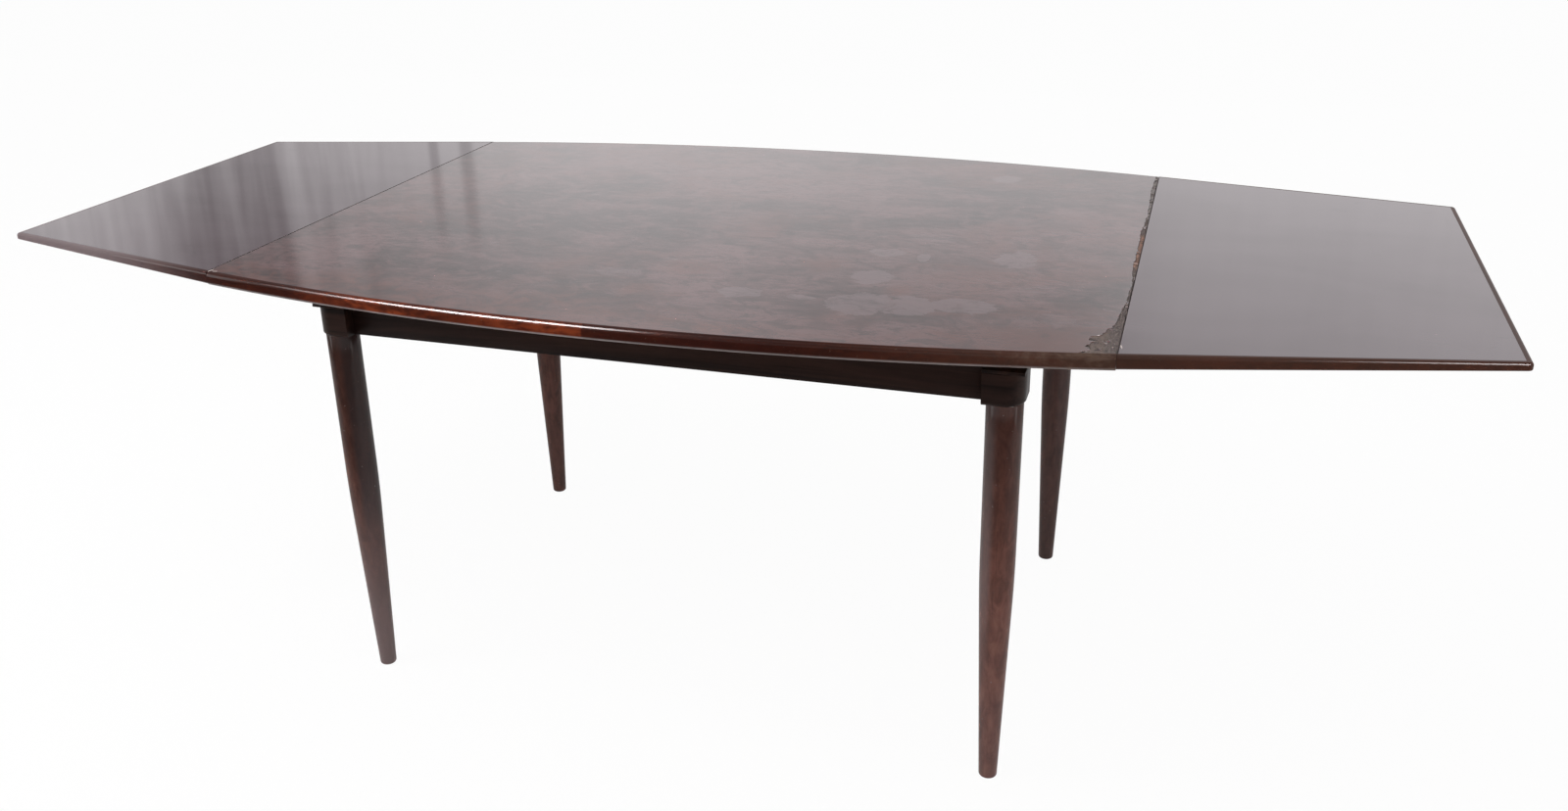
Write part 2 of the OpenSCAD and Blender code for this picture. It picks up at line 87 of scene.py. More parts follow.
LEG_TOP = reach("leg_front_right", Z, HIGH)


def side_y(x, inset=0.0):
    """Half width of the main top at x, drawn in by an inset from its curved side."""
    return SIDE_CENTRE + math.sqrt((SIDE_R - inset) ** 2 - x * x)


def leaf_y(x, inset=0.0):
    """Half width of a leaf at x, drawn in by an inset from its straight side."""
    return END_Y - LEAF_RISE * (x - LEAF_X0) - inset * LEAF_SKEW


def leaf_low(x):
    """Height of a leaf's sloping underside at x."""
    return LEAF_SEAM_LOW + LEAF_TAPER * (x - LEAF_X0)


def length(name, default, description):
    return FloatProperty(name=name, description=description, default=default, min=0.0,
                         subtype="DISTANCE", unit="LENGTH")


def number(name, default, description, **kind):
    return FloatProperty(name=name, description=description, default=default, min=0.0, **kind)


def colour(name, default, description):
    return FloatVectorProperty(name=name, description=description, default=default, size=3,
                               min=0.0, max=1.0, subtype="COLOR")


class TableSizes(bpy.types.PropertyGroup):
    """Sizes of the table's edges, seams and legs."""
    upper_round: length("Upper round", 0.007, "Radius along the upper edge of the main top")
    lower_round: length("Lower round", 0.006, "Radius along the lower edge of the main top")
    leaf_round: length("Leaf upper round", 0.0045, "Radius along the upper edge of the leaves")
    leaf_lower_round: length("Leaf lower round", 0.0012, "Radius along the lower edge of the leaves")
    tip_round: length("Leaf corner", 0.006, "Radius of a leaf's outer corners in plan")
    groove: length("Groove", 0.00035, "Bevel beside the joint of veneer and lipping")
    arris: length("Arris", 0.0010, "Wear on the seam edges of the veneers")
    dent: length("Dents", 0.00014, "Depth of the dents along the edges")
    chip_strip: length("Chipped strip", 0.0055, "Common width of veneer lost along the right seam")
    chip_corner: length("Chipped corner", 0.034, "Width of veneer lost at the front right corner")
    chip_corner_run: length("Chipped corner run", 0.20, "Length of that corner along the seam")
    waist_d: length("Leg waist", 0.050, "Diameter of a leg where its taper starts")
    waist_z: length("Waist height", 0.340, "Height at which the taper starts")
    blend: length("Waist blend", 0.090, "Length over which the taper blends into the straight part")
    foot_d: length("Leg foot", 0.027, "Diameter of a leg at the floor")
    foot_round: length("Foot round", 0.004, "Radius round the foot")
    block_round: length("Block corner", 0.028, "Radius of a block's outer corner")
    block_bevel: length("Block bevel", 0.003, "Bevel round the lower outer edge of a block")
    board_arris: length("Board arris", 0.0007, "Softened edges of aprons, rails and runners")
    turns: IntProperty(name="Leg steps", description="Steps round a leg", default=72, min=16)


class TableColours(bpy.types.PropertyGroup):
    """Colours of the woods, lacquers and metal."""
    veneer_dark: colour("Veneer, dark", (0.024, 0.008, 0.009), "Dark streaks of the face veneer")
    veneer_light: colour("Veneer, light", (0.150, 0.075, 0.078), "Light streaks of the face veneer")
    veneer_red: colour("Veneer, rubbed", (0.135, 0.042, 0.032), "Rubbed and warm parts of the veneer")
    veneer_dull: colour("Dull patches", (0.175, 0.118, 0.128), "Clouded patches of the lacquer")
    leaf_dark: colour("Leaf, dark", (0.064, 0.035, 0.046), "Dark streaks of the leaf veneer")
    leaf_light: colour("Leaf, light", (0.096, 0.062, 0.076), "Light streaks of the leaf veneer")
    lipping_dark: colour("Lipping, dark", (0.024, 0.006, 0.004), "Dark parts of the lippings")
    lipping_mid: colour("Lipping, middle", (0.040, 0.008, 0.005), "Common tone of the lippings")
    lipping_red: colour("Lipping, red", (0.270, 0.050, 0.016), "Red parts of the lippings")
    # Painted light: the left leaf's lippings grow paler and mauve towards its tip, as if lit from the left
    lipping_left_light: colour("Lipping, faded", (0.22, 0.17, 0.175), "Faded lippings of the left leaf")
    # Painted reflection: the floor mirrored in the lower round of the main top's lippings
    lipping_rim_reflection: colour("Lipping, rim", (0.26, 0.225, 0.22), "Rubbed lower edge of the main top's lippings")
    worn: colour("Worn wood", (0.13, 0.080, 0.058), "Wood where the lacquer is worn off")
    frame_dark: colour("Frame, dark", (0.008, 0.004, 0.0035), "Dark grain of the frame")
    frame_light: colour("Frame, light", (0.033, 0.015, 0.011), "Light grain of the frame")
    leg_dark: colour("Leg, dark", (0.080, 0.026, 0.017), "Dark grain of the legs")
    leg_light: colour("Leg, light", (0.170, 0.062, 0.043), "Light grain of the legs")
    # Painted shade: the head of a leg is darkened where the top shades it
    leg_head_shade: colour("Leg, shade", (0.020, 0.008, 0.006), "Darker lacquer at the head of a leg")
    # Painted shade: a dark stripe down the shaded side of a leg
    leg_side_shade: colour("Leg, stripe", (0.032, 0.026, 0.028), "Dark stripe of heartwood")
    # Rubbed lacquer, and also a painted reflection of the floor at the feet and down one side of some legs
    leg_rubbed_and_reflection: colour("Leg, rubbed", (0.19, 0.145, 0.145), "Paler, rubbed lacquer of the legs")
    ground_dark: colour("Bared wood, dark", (0.034, 0.024, 0.021), "Hollows of the bared ground")
    ground_light: colour("Bared wood, light", (0.078, 0.058, 0.051), "Crests of the bared ground")
    ground_fresh: colour("Bared wood, fresh", (0.15, 0.072, 0.046), "Freshly torn part of the bared ground")
    ground_pale: colour("Bared wood, pale", (0.24, 0.215, 0.205), "Old glue on the bared ground")
    ground_brown: colour("Bared wood, brown", (0.082, 0.056, 0.045), "Stained wood at the lost corner")
    # Grime, and also painted shade along the edge of the torn veneer
    grime_and_shadow: colour("Grime", (0.012, 0.008, 0.007), "Dirt in the seams and in the torn edge")
    splinter: colour("Splinters", (0.72, 0.62, 0.58), "Pale splinters at the corners of the seams")
    core: colour("Core wood", (0.36, 0.25, 0.14), "Cores, wedges, pegs and dowels")
    runner: colour("Runner wood", (0.25, 0.14, 0.07), "Lopers, bearers, guides and centre board")
    steel: colour("Steel", (0.55, 0.54, 0.52), "Screws and bolts")
    floor: colour("Floor", (0.86, 0.86, 0.86), "Floor under the table")


class TableStudio(bpy.types.PropertyGroup):
    """Lamps, sky and mirrored light of the studio."""
    sky: number("Sky", 0.62, "Level of the light from all round")
    overhead: number("Overhead lamp", 15.0, "Power of the lamp above", unit="POWER")
    key: number("Key lamp", 20.0, "Power of the small lamp at the upper left", unit="POWER")
    side: number("Side lamp", 11.0, "Power of the upright lamp at the left", unit="POWER")
    right: number("Right lamp", 7.0, "Power of the upright lamp at the right", unit="POWER")
    curtain: number("Curtain", 0.26, "How dark the hanging at the far left is mirrored", max=1.0,
                    subtype="FACTOR")
    strip: number("Strip light", 115.0, "Level of the long light that the lippings mirror")
    floor_lift: number("Floor lift", 0.96, "How far the floor is drawn towards white", max=1.0,
                       subtype="FACTOR")


# Materials


class Value:
    """A number or vector that changes from place to place: an output of a node in a tree."""

    def __init__(self, tree, socket):
        self.tree, self.socket = tree, socket

    def __add__(self, other):
        return self.tree.sums("ADD", self, other)

    def __sub__(self, other):
        return self.tree.sums("SUBTRACT", self, other)

    def __mul__(self, other):
        return self.tree.sums("MULTIPLY", self, other)

    def __truediv__(self, other):
        return self.tree.sums("DIVIDE", self, other)

    def __abs__(self):
        return self.tree.sums("ABSOLUTE", self)

    def step(self, low, high, to_low=0.0, to_high=1.0):
        """A smooth ramp between two limits."""
        return self.tree.value("ShaderNodeMapRange", (self, low, high, to_low, to_high),
                               interpolation_type="SMOOTHSTEP")


class Tree:
    """A node tree, built up from small steps."""

    def __init__(self, tree, out):
        self.nodes, self.links = tree.nodes, tree.links
        self.nodes.clear()
        self.out = self.add(out)

    def feed(self, socket, value):
        """Sets a socket, or links it where the value is another node's output."""
        if isinstance(value, Value):
            self.links.new(value.socket, socket)
        elif socket.type == "RGBA":
            socket.default_value = (*value, 1.0)
        else:
            socket.default_value = value

    def add(self, kind, inputs=(), **settings):
        """A new node, with values for its first inputs in order, or for the inputs of some names."""
        node = self.nodes.new(kind)
        for key, value in settings.items():
            setattr(node, key, value)
        for key, value in inputs.items() if isinstance(inputs, dict) else enumerate(inputs):
            self.feed(node.inputs[key], value)
        return node

    def value(self, kind, inputs=(), output=0, **settings):
        """An output of a new node."""
        return Value(self, self.add(kind, inputs, **settings).outputs[output])

    def sums(self, kind, a, b=0.0):
        return self.value("ShaderNodeMath", (a, b), operation=kind)

    def vectors(self, kind, *inputs, output=0):
        return self.value("ShaderNodeVectorMath", inputs, output, operation=kind)

    def ray(self, kind):
        """1 for the rays of a kind."""
        return self.value("ShaderNodeLightPath", output="Is %s Ray" % kind)

    def seen_or_mirrored(self):
        """1 for the rays of the eye, of gloss and of clear surfaces, and 0 for diffuse light."""
        seen = self.ray("Camera")
        for kind in ("Glossy", "Transmission"):
            seen = self.sums("MAXIMUM", seen, self.ray(kind))
        return seen

    def show(self, shader):
        self.feed(self.out.inputs[0], shader)


class Finish(Tree):
    """One material, with its pattern laid out in table coordinates."""

    def __init__(self, name, roughness=0.5, coat=0.0, coat_roughness=0.1, metal=0.0, mirror=0.5):
        self.material = bpy.data.materials.new(name)
        self.material.use_nodes = True
        super().__init__(self.material.node_tree, "ShaderNodeOutputMaterial")
        self.shader = self.add("ShaderNodeBsdfPrincipled", {
            "Roughness": roughness, "Coat Weight": coat, "Coat Roughness": coat_roughness,
            "Metallic": metal, "Specular IOR Level": mirror})
        self.surface = Value(self, self.shader.outputs[0])
        self.show(self.surface)
        self.place = self.value("ShaderNodeTexCoord", output="Object")

    def axis(self, which):
        return self.value("ShaderNodeSeparateXYZ", [self.place], which)

    def at(self, scale, shift, vector=None):
        """Table coordinates, shifted and scaled."""
        return self.value("ShaderNodeMapping", {
            "Vector": vector or self.place, "Location": [-s * k for s, k in zip(shift, scale)],
            "Scale": scale}, vector_type="POINT")

    def noise(self, vector, size, detail, rough=0.5, warp=0.0, output=0):
        return self.value("ShaderNodeTexNoise", {"Vector": vector, "Scale": size, "Detail": detail,
                                                 "Roughness": rough, "Distortion": warp}, output)

    def grain(self, stretch, detail=4.0, rough=0.55, warp=0.0, shift=(0.0, 0.0, 0.0), size=1.0):
        """Soft noise from 0 to 1. stretch says how fine it is along each axis, or all round."""
        if isinstance(stretch, float):
            return self.noise(self.place, stretch, detail, rough, warp)
        return self.noise(self.at(stretch, shift), size, detail, rough, warp)

    def away(self, centre, radii, vector=None):
        """How far a place lies from a centre, in units of the radii along the axes."""
        return self.vectors("LENGTH", self.at([1 / r for r in radii], centre, vector), output="Value")

    def spot(self, centre, radii, edge, ragged, size):
        """1 inside an ellipsoid round a point and 0 outside it, with a ragged edge."""
        far = self.away(centre, radii) + self.grain(size).step(0.3, 0.7, -ragged, ragged)
        return far.step(1 - edge, 1 + edge, 1.0, 0.0)

    def spots(self, places, edge, warp, size):
        """1 inside any of some ellipses on the table's face and 0 outside, with ragged borders."""
        rag = self.vectors("SUBTRACT", self.noise(self.place, size, 4.0, output="Color"), (0.5, 0.5, 0.5))
        moved = self.vectors("MULTIPLY_ADD", rag, (warp, warp, 0.0), self.place)
        nearest = None
        for x, y, long, wide in places:
            far = self.away((x, y, TOP_Z), (long, wide, 1.0), moved)
            nearest = self.sums("MINIMUM", nearest, far) if nearest else far
        return nearest.step(1 - edge, 1 + edge, 1.0, 0.0)

    def wash(self, share, shade, ground=None):
        """Lays a shade over the colours so far, or over a first ground, by a share."""
        ground = self.tone if ground is None else ground
        self.tone = self.value("ShaderNodeMix", {0: share, 6: ground, 7: shade}, 2, data_type="RGBA")
        self.feed(self.shader.inputs["Base Color"], self.tone)

    def gloss(self, roughness):
        self.feed(self.shader.inputs["Roughness"], roughness)

    def bump(self, height, distance, strength, coat=False):
        normal = self.value("ShaderNodeBump", {"Height": height, "Distance": distance,
                                               "Strength": strength})
        for socket in ("Normal", "Coat Normal") if coat else ("Normal",):
            self.feed(self.shader.inputs[socket], normal)


# Finishes made so far, by name
MADE = {}


def once(make):
    """Makes a finish when its name is first asked for, and hands out the same one after that."""
    def finish(name, *args, **more):
        if name not in MADE:
            MADE[name] = make(name, *args, **more).material
        return MADE[name]
    return finish


# How fine a wood's figure is along each axis, for a grain that runs along one of them
ALONG = {"x": (1.0, 22.0, 22.0), "y": (22.0, 1.0, 22.0), "z": (22.0, 22.0, 1.0)}


def wood_grain(finish, along, shift=(0.0, 0.0, 0.0)):
    """Broad figure and fine pores, drawn out along the grain."""
    fine = [9 * k if k > 1 else 4 * k for k in ALONG[along]]
    return finish.grain(ALONG[along], 6, 0.6, 0.6, shift, 1.3), finish.grain(fine, 3, 0.7, 0.0, shift, 1.6)


@once
def plain_wood(name, along, dark, light, roughness, coat=0.0, coat_roughness=0.2, mirror=0.3):
    """A wood with figure, pores and slight changes of gloss."""
    finish = Finish(name, roughness, coat, coat_roughness, mirror=mirror)
    figure, pores = wood_grain(finish, along)
    finish.wash(figure.step(0.32, 0.70), light, dark)
    finish.wash(pores.step(0.42, 0.30, 0.0, 0.55), 0.45 * dark)
    finish.gloss(figure.step(0.2, 0.8, roughness - 0.06, roughness + 0.08))
    finish.bump(pores, 0.00005, 0.6)
    return finish


@once
def metal(name, shade):
    """Plated metal with fine scratches."""
    finish = Finish(name, 0.35, metal=1.0)
    scratch = finish.grain((900, 900, 120), 3)
    finish.wash(scratch, shade, 0.8 * shade)
    finish.gloss(scratch.step(0.3, 0.7, 0.28, 0.45))
    return finish


# Places on the main top: along, across, half length, half width
CLOUDS = ((0.317, -0.350, 0.040, 0.044), (0.387, -0.342, 0.034, 0.034), (0.454, -0.323, 0.043, 0.026),
          (0.309, -0.232, 0.027, 0.032), (0.303, -0.110, 0.026, 0.018), (0.362, -0.124, 0.010, 0.020),
          (0.496, -0.100, 0.028, 0.036), (0.144, -0.338, 0.028, 0.021), (0.232, -0.340, 0.018, 0.010),
          (0.411, 0.372, 0.023, 0.024))
WISPS = ((0.584, -0.342, 0.026, 0.030), (0.540, -0.224, 0.020, 0.016), (0.360, -0.020, 0.050, 0.030),
         (-0.060, -0.300, 0.050, 0.024))
SHADES = ((0.040, 0.101, 0.034, 0.028), (0.338, -0.421, 0.024, 0.014), (0.290, -0.441, 0.024, 0.014),
          (0.258, -0.386, 0.030, 0.024), (0.395, -0.376, 0.034, 0.012), (0.533, 0.093, 0.032, 0.026),
          (-0.250, -0.150, 0.050, 0.030), (0.120, 0.010, 0.050, 0.018))
WARM = ((0.000, -0.358, 0.026, 0.024), (0.034, -0.250, 0.040, 0.034), (0.224, -0.187, 0.030, 0.032),
        (0.364, -0.281, 0.018, 0.024), (0.589, -0.338, 0.014, 0.012), (0.560, -0.420, 0.070, 0.030))
MARKS = ((0.406, 0.107, 0.020, 0.008), (0.055, -0.125, 0.011, 0.006), (0.032, -0.252, 0.0035, 0.004),
         (0.398, 0.133, 0.009, 0.007), (0.402, 0.081, 0.010, 0.007), (0.118, -0.262, 0.006, 0.003),
         (-0.060, -0.400, 0.006, 0.004), (-0.300, -0.150, 0.008, 0.005), (0.575, -0.405, 0.005, 0.006))


@once
def main_veneer(name, colours):
    """Face veneer of the main top: mottled all over, clouded in places, worn to the front and right."""
    finish = Finish(name, 0.5, 1.0, 0.06, mirror=0.0)
    grain, spots, wash = finish.grain, finish.spots, finish.wash
    dark, light, red = colours.veneer_dark, colours.veneer_light, colours.veneer_red
    figure, pores = wood_grain(finish, "x")
    broad = grain((3.0, 5.0, 1.0), 5, 0.6, 0.9)
    mottle = grain((15.0, 20.0, 1.0), 7, 0.66, 1.6)
    streak = grain((13.0, 32.0, 1.0), 6, 0.66, 2.2, (0.3, 0.1, 0.0))
    fine = grain((60.0, 120.0, 1.0), 4, 0.65, 0.5)
    wash((figure * 0.2 + broad * 0.8).step(0.38, 0.62), light, dark)
    for texture, rise, fall in ((mottle, 0.50, 0.60), (streak, 0.28, 0.38), (fine, 0.15, 0.30)):
        wash(texture.step(0.50, 0.62, 0.0, rise), light)
        wash(texture.step(0.50, 0.38, 0.0, fall), dark)
    wash(pores.step(0.42, 0.30, 0.0, 0.30), dark)
    # Red-brown, rubbed zone along the curved front edge
    bow = finish.sums("POWER", abs(finish.axis(X)), 2.0) * (1 / (2 * SIDE_R))
    run = finish.axis(Y) + MID_Y - bow + broad.step(0.3, 0.7, -0.06, 0.06)
    wash(run.step(0.13, 0.02) * mottle.step(0.38, 0.60, 0.15, 0.70), red)
    warm = grain((5.0, 7.0, 1.0), 5, 0.62, 0.8, (0.4, 0.2, 0.0)).step(0.48, 0.70, 0.0, 0.5)
    warm = finish.sums("MAXIMUM", warm, spots(WARM, 0.6, 0.04, 25.0) * 0.6)
    wash(warm * streak.step(0.35, 0.55, 0.5, 1.0), red)
    wash(spots(SHADES, 0.7, 0.04, 25.0) * 0.5, dark)
    # Clouded patches: broken borders, gaps inside, fainter wisps beside them
    blot = grain((24.0, 60.0, 1.0), 6, 0.62, 0.9, (0.2, 0.4, 0.0))
    clouds = (spots(CLOUDS, 0.42, 0.028, 30.0) * 0.5 + blot).step(0.64, 0.74)
    wisps = (spots(WISPS, 0.7, 0.03, 30.0) * 0.22 + blot).step(0.62, 0.74, 0.0, 0.55)
    dull = finish.sums("MAXIMUM", clouds, wisps) * mottle.step(0.30, 0.50, 0.35, 1.0)
    wash(dull * 0.66, colours.veneer_dull)
    # Dark flecks and marks, and the worn corner
    wash(grain((60.0, 150.0, 1.0), 2, 0.5).step(0.70, 0.76, 0.0, 0.8), 0.4 * dark)
    wash(spots(MARKS, 0.5, 0.012, 90.0) * 0.7, 0.4 * dark)
    worn = finish.spot((SEAM_X, -END_Y, TOP_Z), (0.15, 0.10, 9.0), 0.6, 0.4, 25.0)
    wash(worn * mottle.step(0.35, 0.6, 0.2, 0.7), 0.7 * red)
    ripple = grain((5.0, 6.0, 1.0), 2, 0.5)
    finish.bump(ripple * 3.0 + mottle * 0.9 + streak * 1.2 + fine * 0.20, 0.0001, 0.45, coat=True)
    return finish


@once
def leaf_veneer(name, colours, side):
    """Face veneer of a leaf: smooth and grey, with faint smudges."""
    finish = Finish(name, 0.5, 1.0, 0.05, mirror=0.0)
    dark, light = colours.leaf_dark, colours.leaf_light
    figure, pores = wood_grain(finish, "x", (3.0 * side, 1.0, 0.0))
    broad = finish.grain((2.5, 4.0, 1.0), 4, 0.6, 0.6, (side, 0, 0))
    smudge = finish.grain((14.0, 34.0, 1.0), 5, 0.6, 0.8, (side, 0, 0))
    finish.wash((figure * 0.2 + broad * 0.8).step(0.34, 0.66), light, dark)
    finish.wash(smudge.step(0.63, 0.74, 0.0, 0.75), 0.55 * dark)
    finish.wash(pores.step(0.42, 0.30, 0.0, 0.25), dark)
    ripple = finish.grain((3.0, 3.0, 1.0), 1, 0.5)
    finish.bump(ripple * 2.0 + pores * 0.05, 0.0001, 0.4, coat=True)
    return finish


@once
def lipping_wood(name, colours, along):
    """Solid lippings: dark red-brown, orange-red along the left front, paler and mauve towards the left end
    by painted light, worn towards the right end.
    """
    finish = Finish(name, 0.5, 0.28, 0.11, mirror=0.0)
    wash = finish.wash
    figure, pores = wood_grain(finish, along)
    patch = finish.grain([34.0 if k == 1 else 90.0 for k in ALONG[along]], 5, 0.62, 0.4)
    broad = finish.grain((6.0, 6.0, 6.0), 3, 0.5)
    across = finish.axis(X)
    wash(figure.step(0.3, 0.7), colours.lipping_mid, colours.lipping_dark)
    # The orange-red length ends in a butt joint near the middle
    rich = across.step(-0.012, -0.016) * across.step(-0.52, -0.38) * 0.74 + 0.12
    bright = broad.step(0.34, 0.58, 0.25, 1.0) * patch.step(0.34, 0.62, 0.25, 1.0)
    wash(rich * bright, colours.lipping_red)
    wash(pores.step(0.42, 0.30, 0.0, 0.45), colours.lipping_dark)
    wash(across.step(0.25, 0.62, 0.0, 0.26), colours.worn)
    # Painted light: paler towards the left leaf's tip
    wash(across.step(-0.62, -0.98), colours.lipping_left_light)
    # Painted reflection of the floor along the lower round, paler at the left
    rim = finish.axis(Z).step(TOP_UNDER + 0.0056, TOP_UNDER + 0.0026) * across.step(-0.05, 0.10, 0.95, 0.70)
    wash(rim * patch.step(0.3, 0.6, 0.7, 1.0), colours.lipping_rim_reflection)
    # Worn front right corner of the main top, and pale specks all over
    wear = finish.spot((SEAM_X - 0.01, -END_Y, TOP_Z), (0.090, 0.03, 0.03), 0.6, 0.5, 60.0)
    wear = wear * across.step(SEAM_X + 0.0003, SEAM_X + 0.0001)
    wash(wear * patch.step(0.35, 0.6, 0.15, 0.75), colours.worn)
    wash(finish.grain(260.0, 3, 0.6).step(0.64, 0.74, 0.0, 0.35), colours.worn)
    finish.bump(pores + patch, 0.00010, 0.5)
    return finish


@once
def bared_ground(name, colours):
    """Rough ground under the lost veneer: torn fibres, old glue, a fresher part half way along."""
    finish = Finish(name, 0.9, mirror=0.2)
    wash = finish.wash
    fibre = finish.grain((420.0, 110.0, 60.0), 5, 0.7, 0.6)
    blotch = finish.grain(90.0, 5, 0.65)
    across = finish.axis(Y)
    wash(fibre.step(0.32, 0.70), colours.ground_light, colours.ground_dark)
    fresh = across.step(-0.12, -0.08) * across.step(0.085, 0.055)
    wash(fresh * blotch.step(0.35, 0.55, 0.55, 1.0), colours.ground_fresh)
    wash(across.step(0.15, 0.20) * blotch.step(0.42, 0.58) * 0.75, colours.ground_pale)
    brown = finish.axis(X).step(SEAM_X - 0.013, SEAM_X - 0.019) * blotch.step(0.36, 0.50, 0.2, 0.8)
    wash(brown, colours.ground_brown)
    wash(blotch.step(0.44, 0.35, 0.0, 0.85), colours.grime_and_shadow)
    crack = abs(finish.grain((260.0, 120.0, 60.0), 3, 0.6, 0.8, (0.3, 0.0, 0.0)) - 0.5)
    wash(crack.step(0.030, 0.008, 0.0, 0.85), colours.grime_and_shadow)
    # Painted shade along the edge of the torn veneer, and grime along the seam, as the mesh gives them
    wash(finish.value("ShaderNodeAttribute", output="Fac", attribute_name="tear"), colours.grime_and_shadow)
    finish.bump(fibre + blotch, 0.0003, 0.7)
    return finish


@once
def seam_grime(name, colours):
    """Dull dirt that sits along the worn edges of the veneers at the seams."""
    finish = Finish(name, 0.9, mirror=0.1)
    finish.wash(finish.grain(160.0).step(0.40, 0.70), 1.5 * colours.grime_and_shadow, colours.grime_and_shadow)
    return finish


@once
def pale_splinter(name, colours):
    """Bare, pale wood of small splinters."""
    finish = Finish(name, 0.7, mirror=0.2)
    fibre = finish.grain((700.0, 160.0, 200.0))
    finish.wash(fibre.step(0.35, 0.65), colours.splinter, 0.7 * colours.splinter)
    return finish


# Each leg is turned from its own piece of wood: its tone, its share of gloss, how pale its foot is (rubbed
# lacquer and a painted reflection of the floor), the side of its axis on which a stripe runs, and the
# stripe's
# colour and share: a dark stripe is painted shade, a pale one is a painted reflection
LEG_LOOKS = {"leg_front_left": (0.78, 0.42, 0.74, 1, "leg_side_shade", 0.75),
             "leg_front_right": (1.12, 0.50, 0.18, -1, "leg_rubbed_and_reflection", 0.45),
             "leg_rear_left": (0.65, 0.35, 0.10, -1, "leg_side_shade", 0.35),
             "leg_rear_right": (0.40, 0.40, 0.12, 1, "leg_rubbed_and_reflection", 0.16)}


@once
def leg_lacquer(name, colours, node, middle_x):
    """Finish of a leg: painted shade at its head, finely mottled, paler towards the foot (rubbed lacquer
    and a painted reflection of the floor), with one long stripe down one side: painted shade on some legs,
    a painted reflection on others.
    """
    tone, gloss, rubbed, side, stripe, strength = LEG_LOOKS[node]
    finish = Finish(name, 0.5, gloss, 0.19, mirror=0.0)
    dark, light = tone * colours.leg_dark, tone * colours.leg_light
    figure, pores = wood_grain(finish, "z")
    mottle = finish.grain((70.0, 70.0, 26.0), 5, 0.65, 0.5)
    height = finish.axis(Z)
    finish.wash((figure * 0.30 + mottle * 0.70).step(0.34, 0.66), light, dark)
    finish.wash(pores.step(0.42, 0.30, 0.0, 0.35), 0.5 * dark)
    # A stripe down one side of the leg: painted shade where its colour is dark, a painted reflection where
    # it is pale
    band = ((finish.axis(X) - middle_x) * side).step(0.002, 0.013)
    finish.wash(band * height.step(0.16, 0.36, 0.0, strength), getattr(colours, stripe))
    # Painted shade at the head of the leg, under the top
    finish.wash(height.step(0.25, 0.60, 0.0, 0.62), colours.leg_head_shade)
    # Paler towards the foot: partly rubbed lacquer, partly a painted reflection of the floor
    finish.wash(height.step(0.40, 0.03, 0.0, rubbed), colours.leg_rubbed_and_reflection)
    # Pale flecks of rubbed lacquer
    finish.wash(finish.grain(190.0, 2, 0.5).step(0.72, 0.77, 0.0, 0.6), colours.leg_rubbed_and_reflection)
    finish.bump(pores + mottle, 0.00006, 0.6)
    return finish


# Meshes


def make_piece(name, closed, material, body, replaces=(), sharp=40.0, second=None):
    """A closed mesh piece, given as points and faces, that rides on a body and may replace CAD nodes.

    second is a further material and the test of a face's middle that gives the face to it.
    """
    verts, faces = closed
    mesh = bpy.data.meshes.new(name)
    mesh.from_pydata(verts, [], faces)
    shape = bmesh.new()
    shape.from_mesh(mesh)
    bmesh.ops.remove_doubles(shape, verts=shape.verts, dist=1e-6)
    bmesh.ops.dissolve_degenerate(shape, dist=1e-7, edges=shape.edges)
    bmesh.ops.recalc_face_normals(shape, faces=shape.faces)
    shape.to_mesh(mesh)
    shape.free()
    mesh.shade_smooth()
    mesh.set_sharp_from_angle(angle=math.radians(sharp))
    mesh.materials.append(material)
    if second:
        further, takes = second
        mesh.materials.append(further)
        for face in mesh.polygons:
            face.material_index = int(takes(face.center))
    piece = bpy.data.objects.new(name, mesh)
    bpy.context.scene.collection.objects.link(piece)
    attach(piece, body)
    if replaces:
        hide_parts(*replaces)
    return piece


def sweep(rings):
    """Points and faces of a closed bar through rings of equal size, with both ends capped."""
    size = len(rings[0])
    verts = [point for ring in rings for point in ring]
    faces = [(i * size + j, i * size + (j + 1) % size, (i + 1) * size + (j + 1) % size, (i + 1) * size + j)
             for i in range(len(rings) - 1) for j in range(size)]
    faces.append(tuple(range(size))[::-1])
    faces.append(tuple(range((len(rings) - 1) * size, len(rings) * size)))
    return verts, faces


def plate(steps, row_at):
    """Points and faces of a closed plate on the face of the core.

    row_at gives a row of its upper points at a share of the half width, from -1 to 1.
    """
    upper = [row_at(-1 + 2 * j / steps) for j in range(steps + 1)]
    rows, columns = len(upper), len(upper[0])
    verts = [p for row in upper for p in row]
    verts += [(x, y, FACE_UNDER) for x, y, _ in verts]
    base = rows * columns
    faces = []
    for i in range(rows - 1):
        for j in range(columns - 1):
            quad = (i * columns + j, (i + 1) * columns + j, (i + 1) * columns + j + 1, i * columns + j + 1)
            faces += [quad, tuple(base + v for v in quad[::-1])]
    rim = (list(range(columns)) + [i * columns + columns - 1 for i in range(1, rows)]
           + [(rows - 1) * columns + j for j in range(columns - 2, -1, -1)]
           + [i * columns for i in range(rows - 2, 0, -1)])
    for a, b in zip(rim, rim[1:] + rim[:1]):
        faces.append((a, b, base + b, base + a))
    return verts, faces


def quarter_turn(steps):
    return [math.pi / 2 * i / steps for i in range(steps + 1)]


# Steps along the lippings of the main top and of a leaf, and round their upper and lower edges
LIPPING_STEPS, LEAF_STEPS, UPPER_TURNS, LOWER_TURNS = 260, 60, 12, 8
# Steps round a leaf's corner, a leg's foot and a block's corner
TIP_TURNS, FOOT_TURNS, BLOCK_TURNS = 8, 6, 16
# Steps across and along the main top's veneer, across and along its bared strip, across and along a leaf
VENEER_ROWS, VENEER_COLUMNS = 520, 30
GROUND_ROWS, GROUND_COLUMNS = 620, 14
LEAF_ROWS, LEAF_COLUMNS = 40, 16


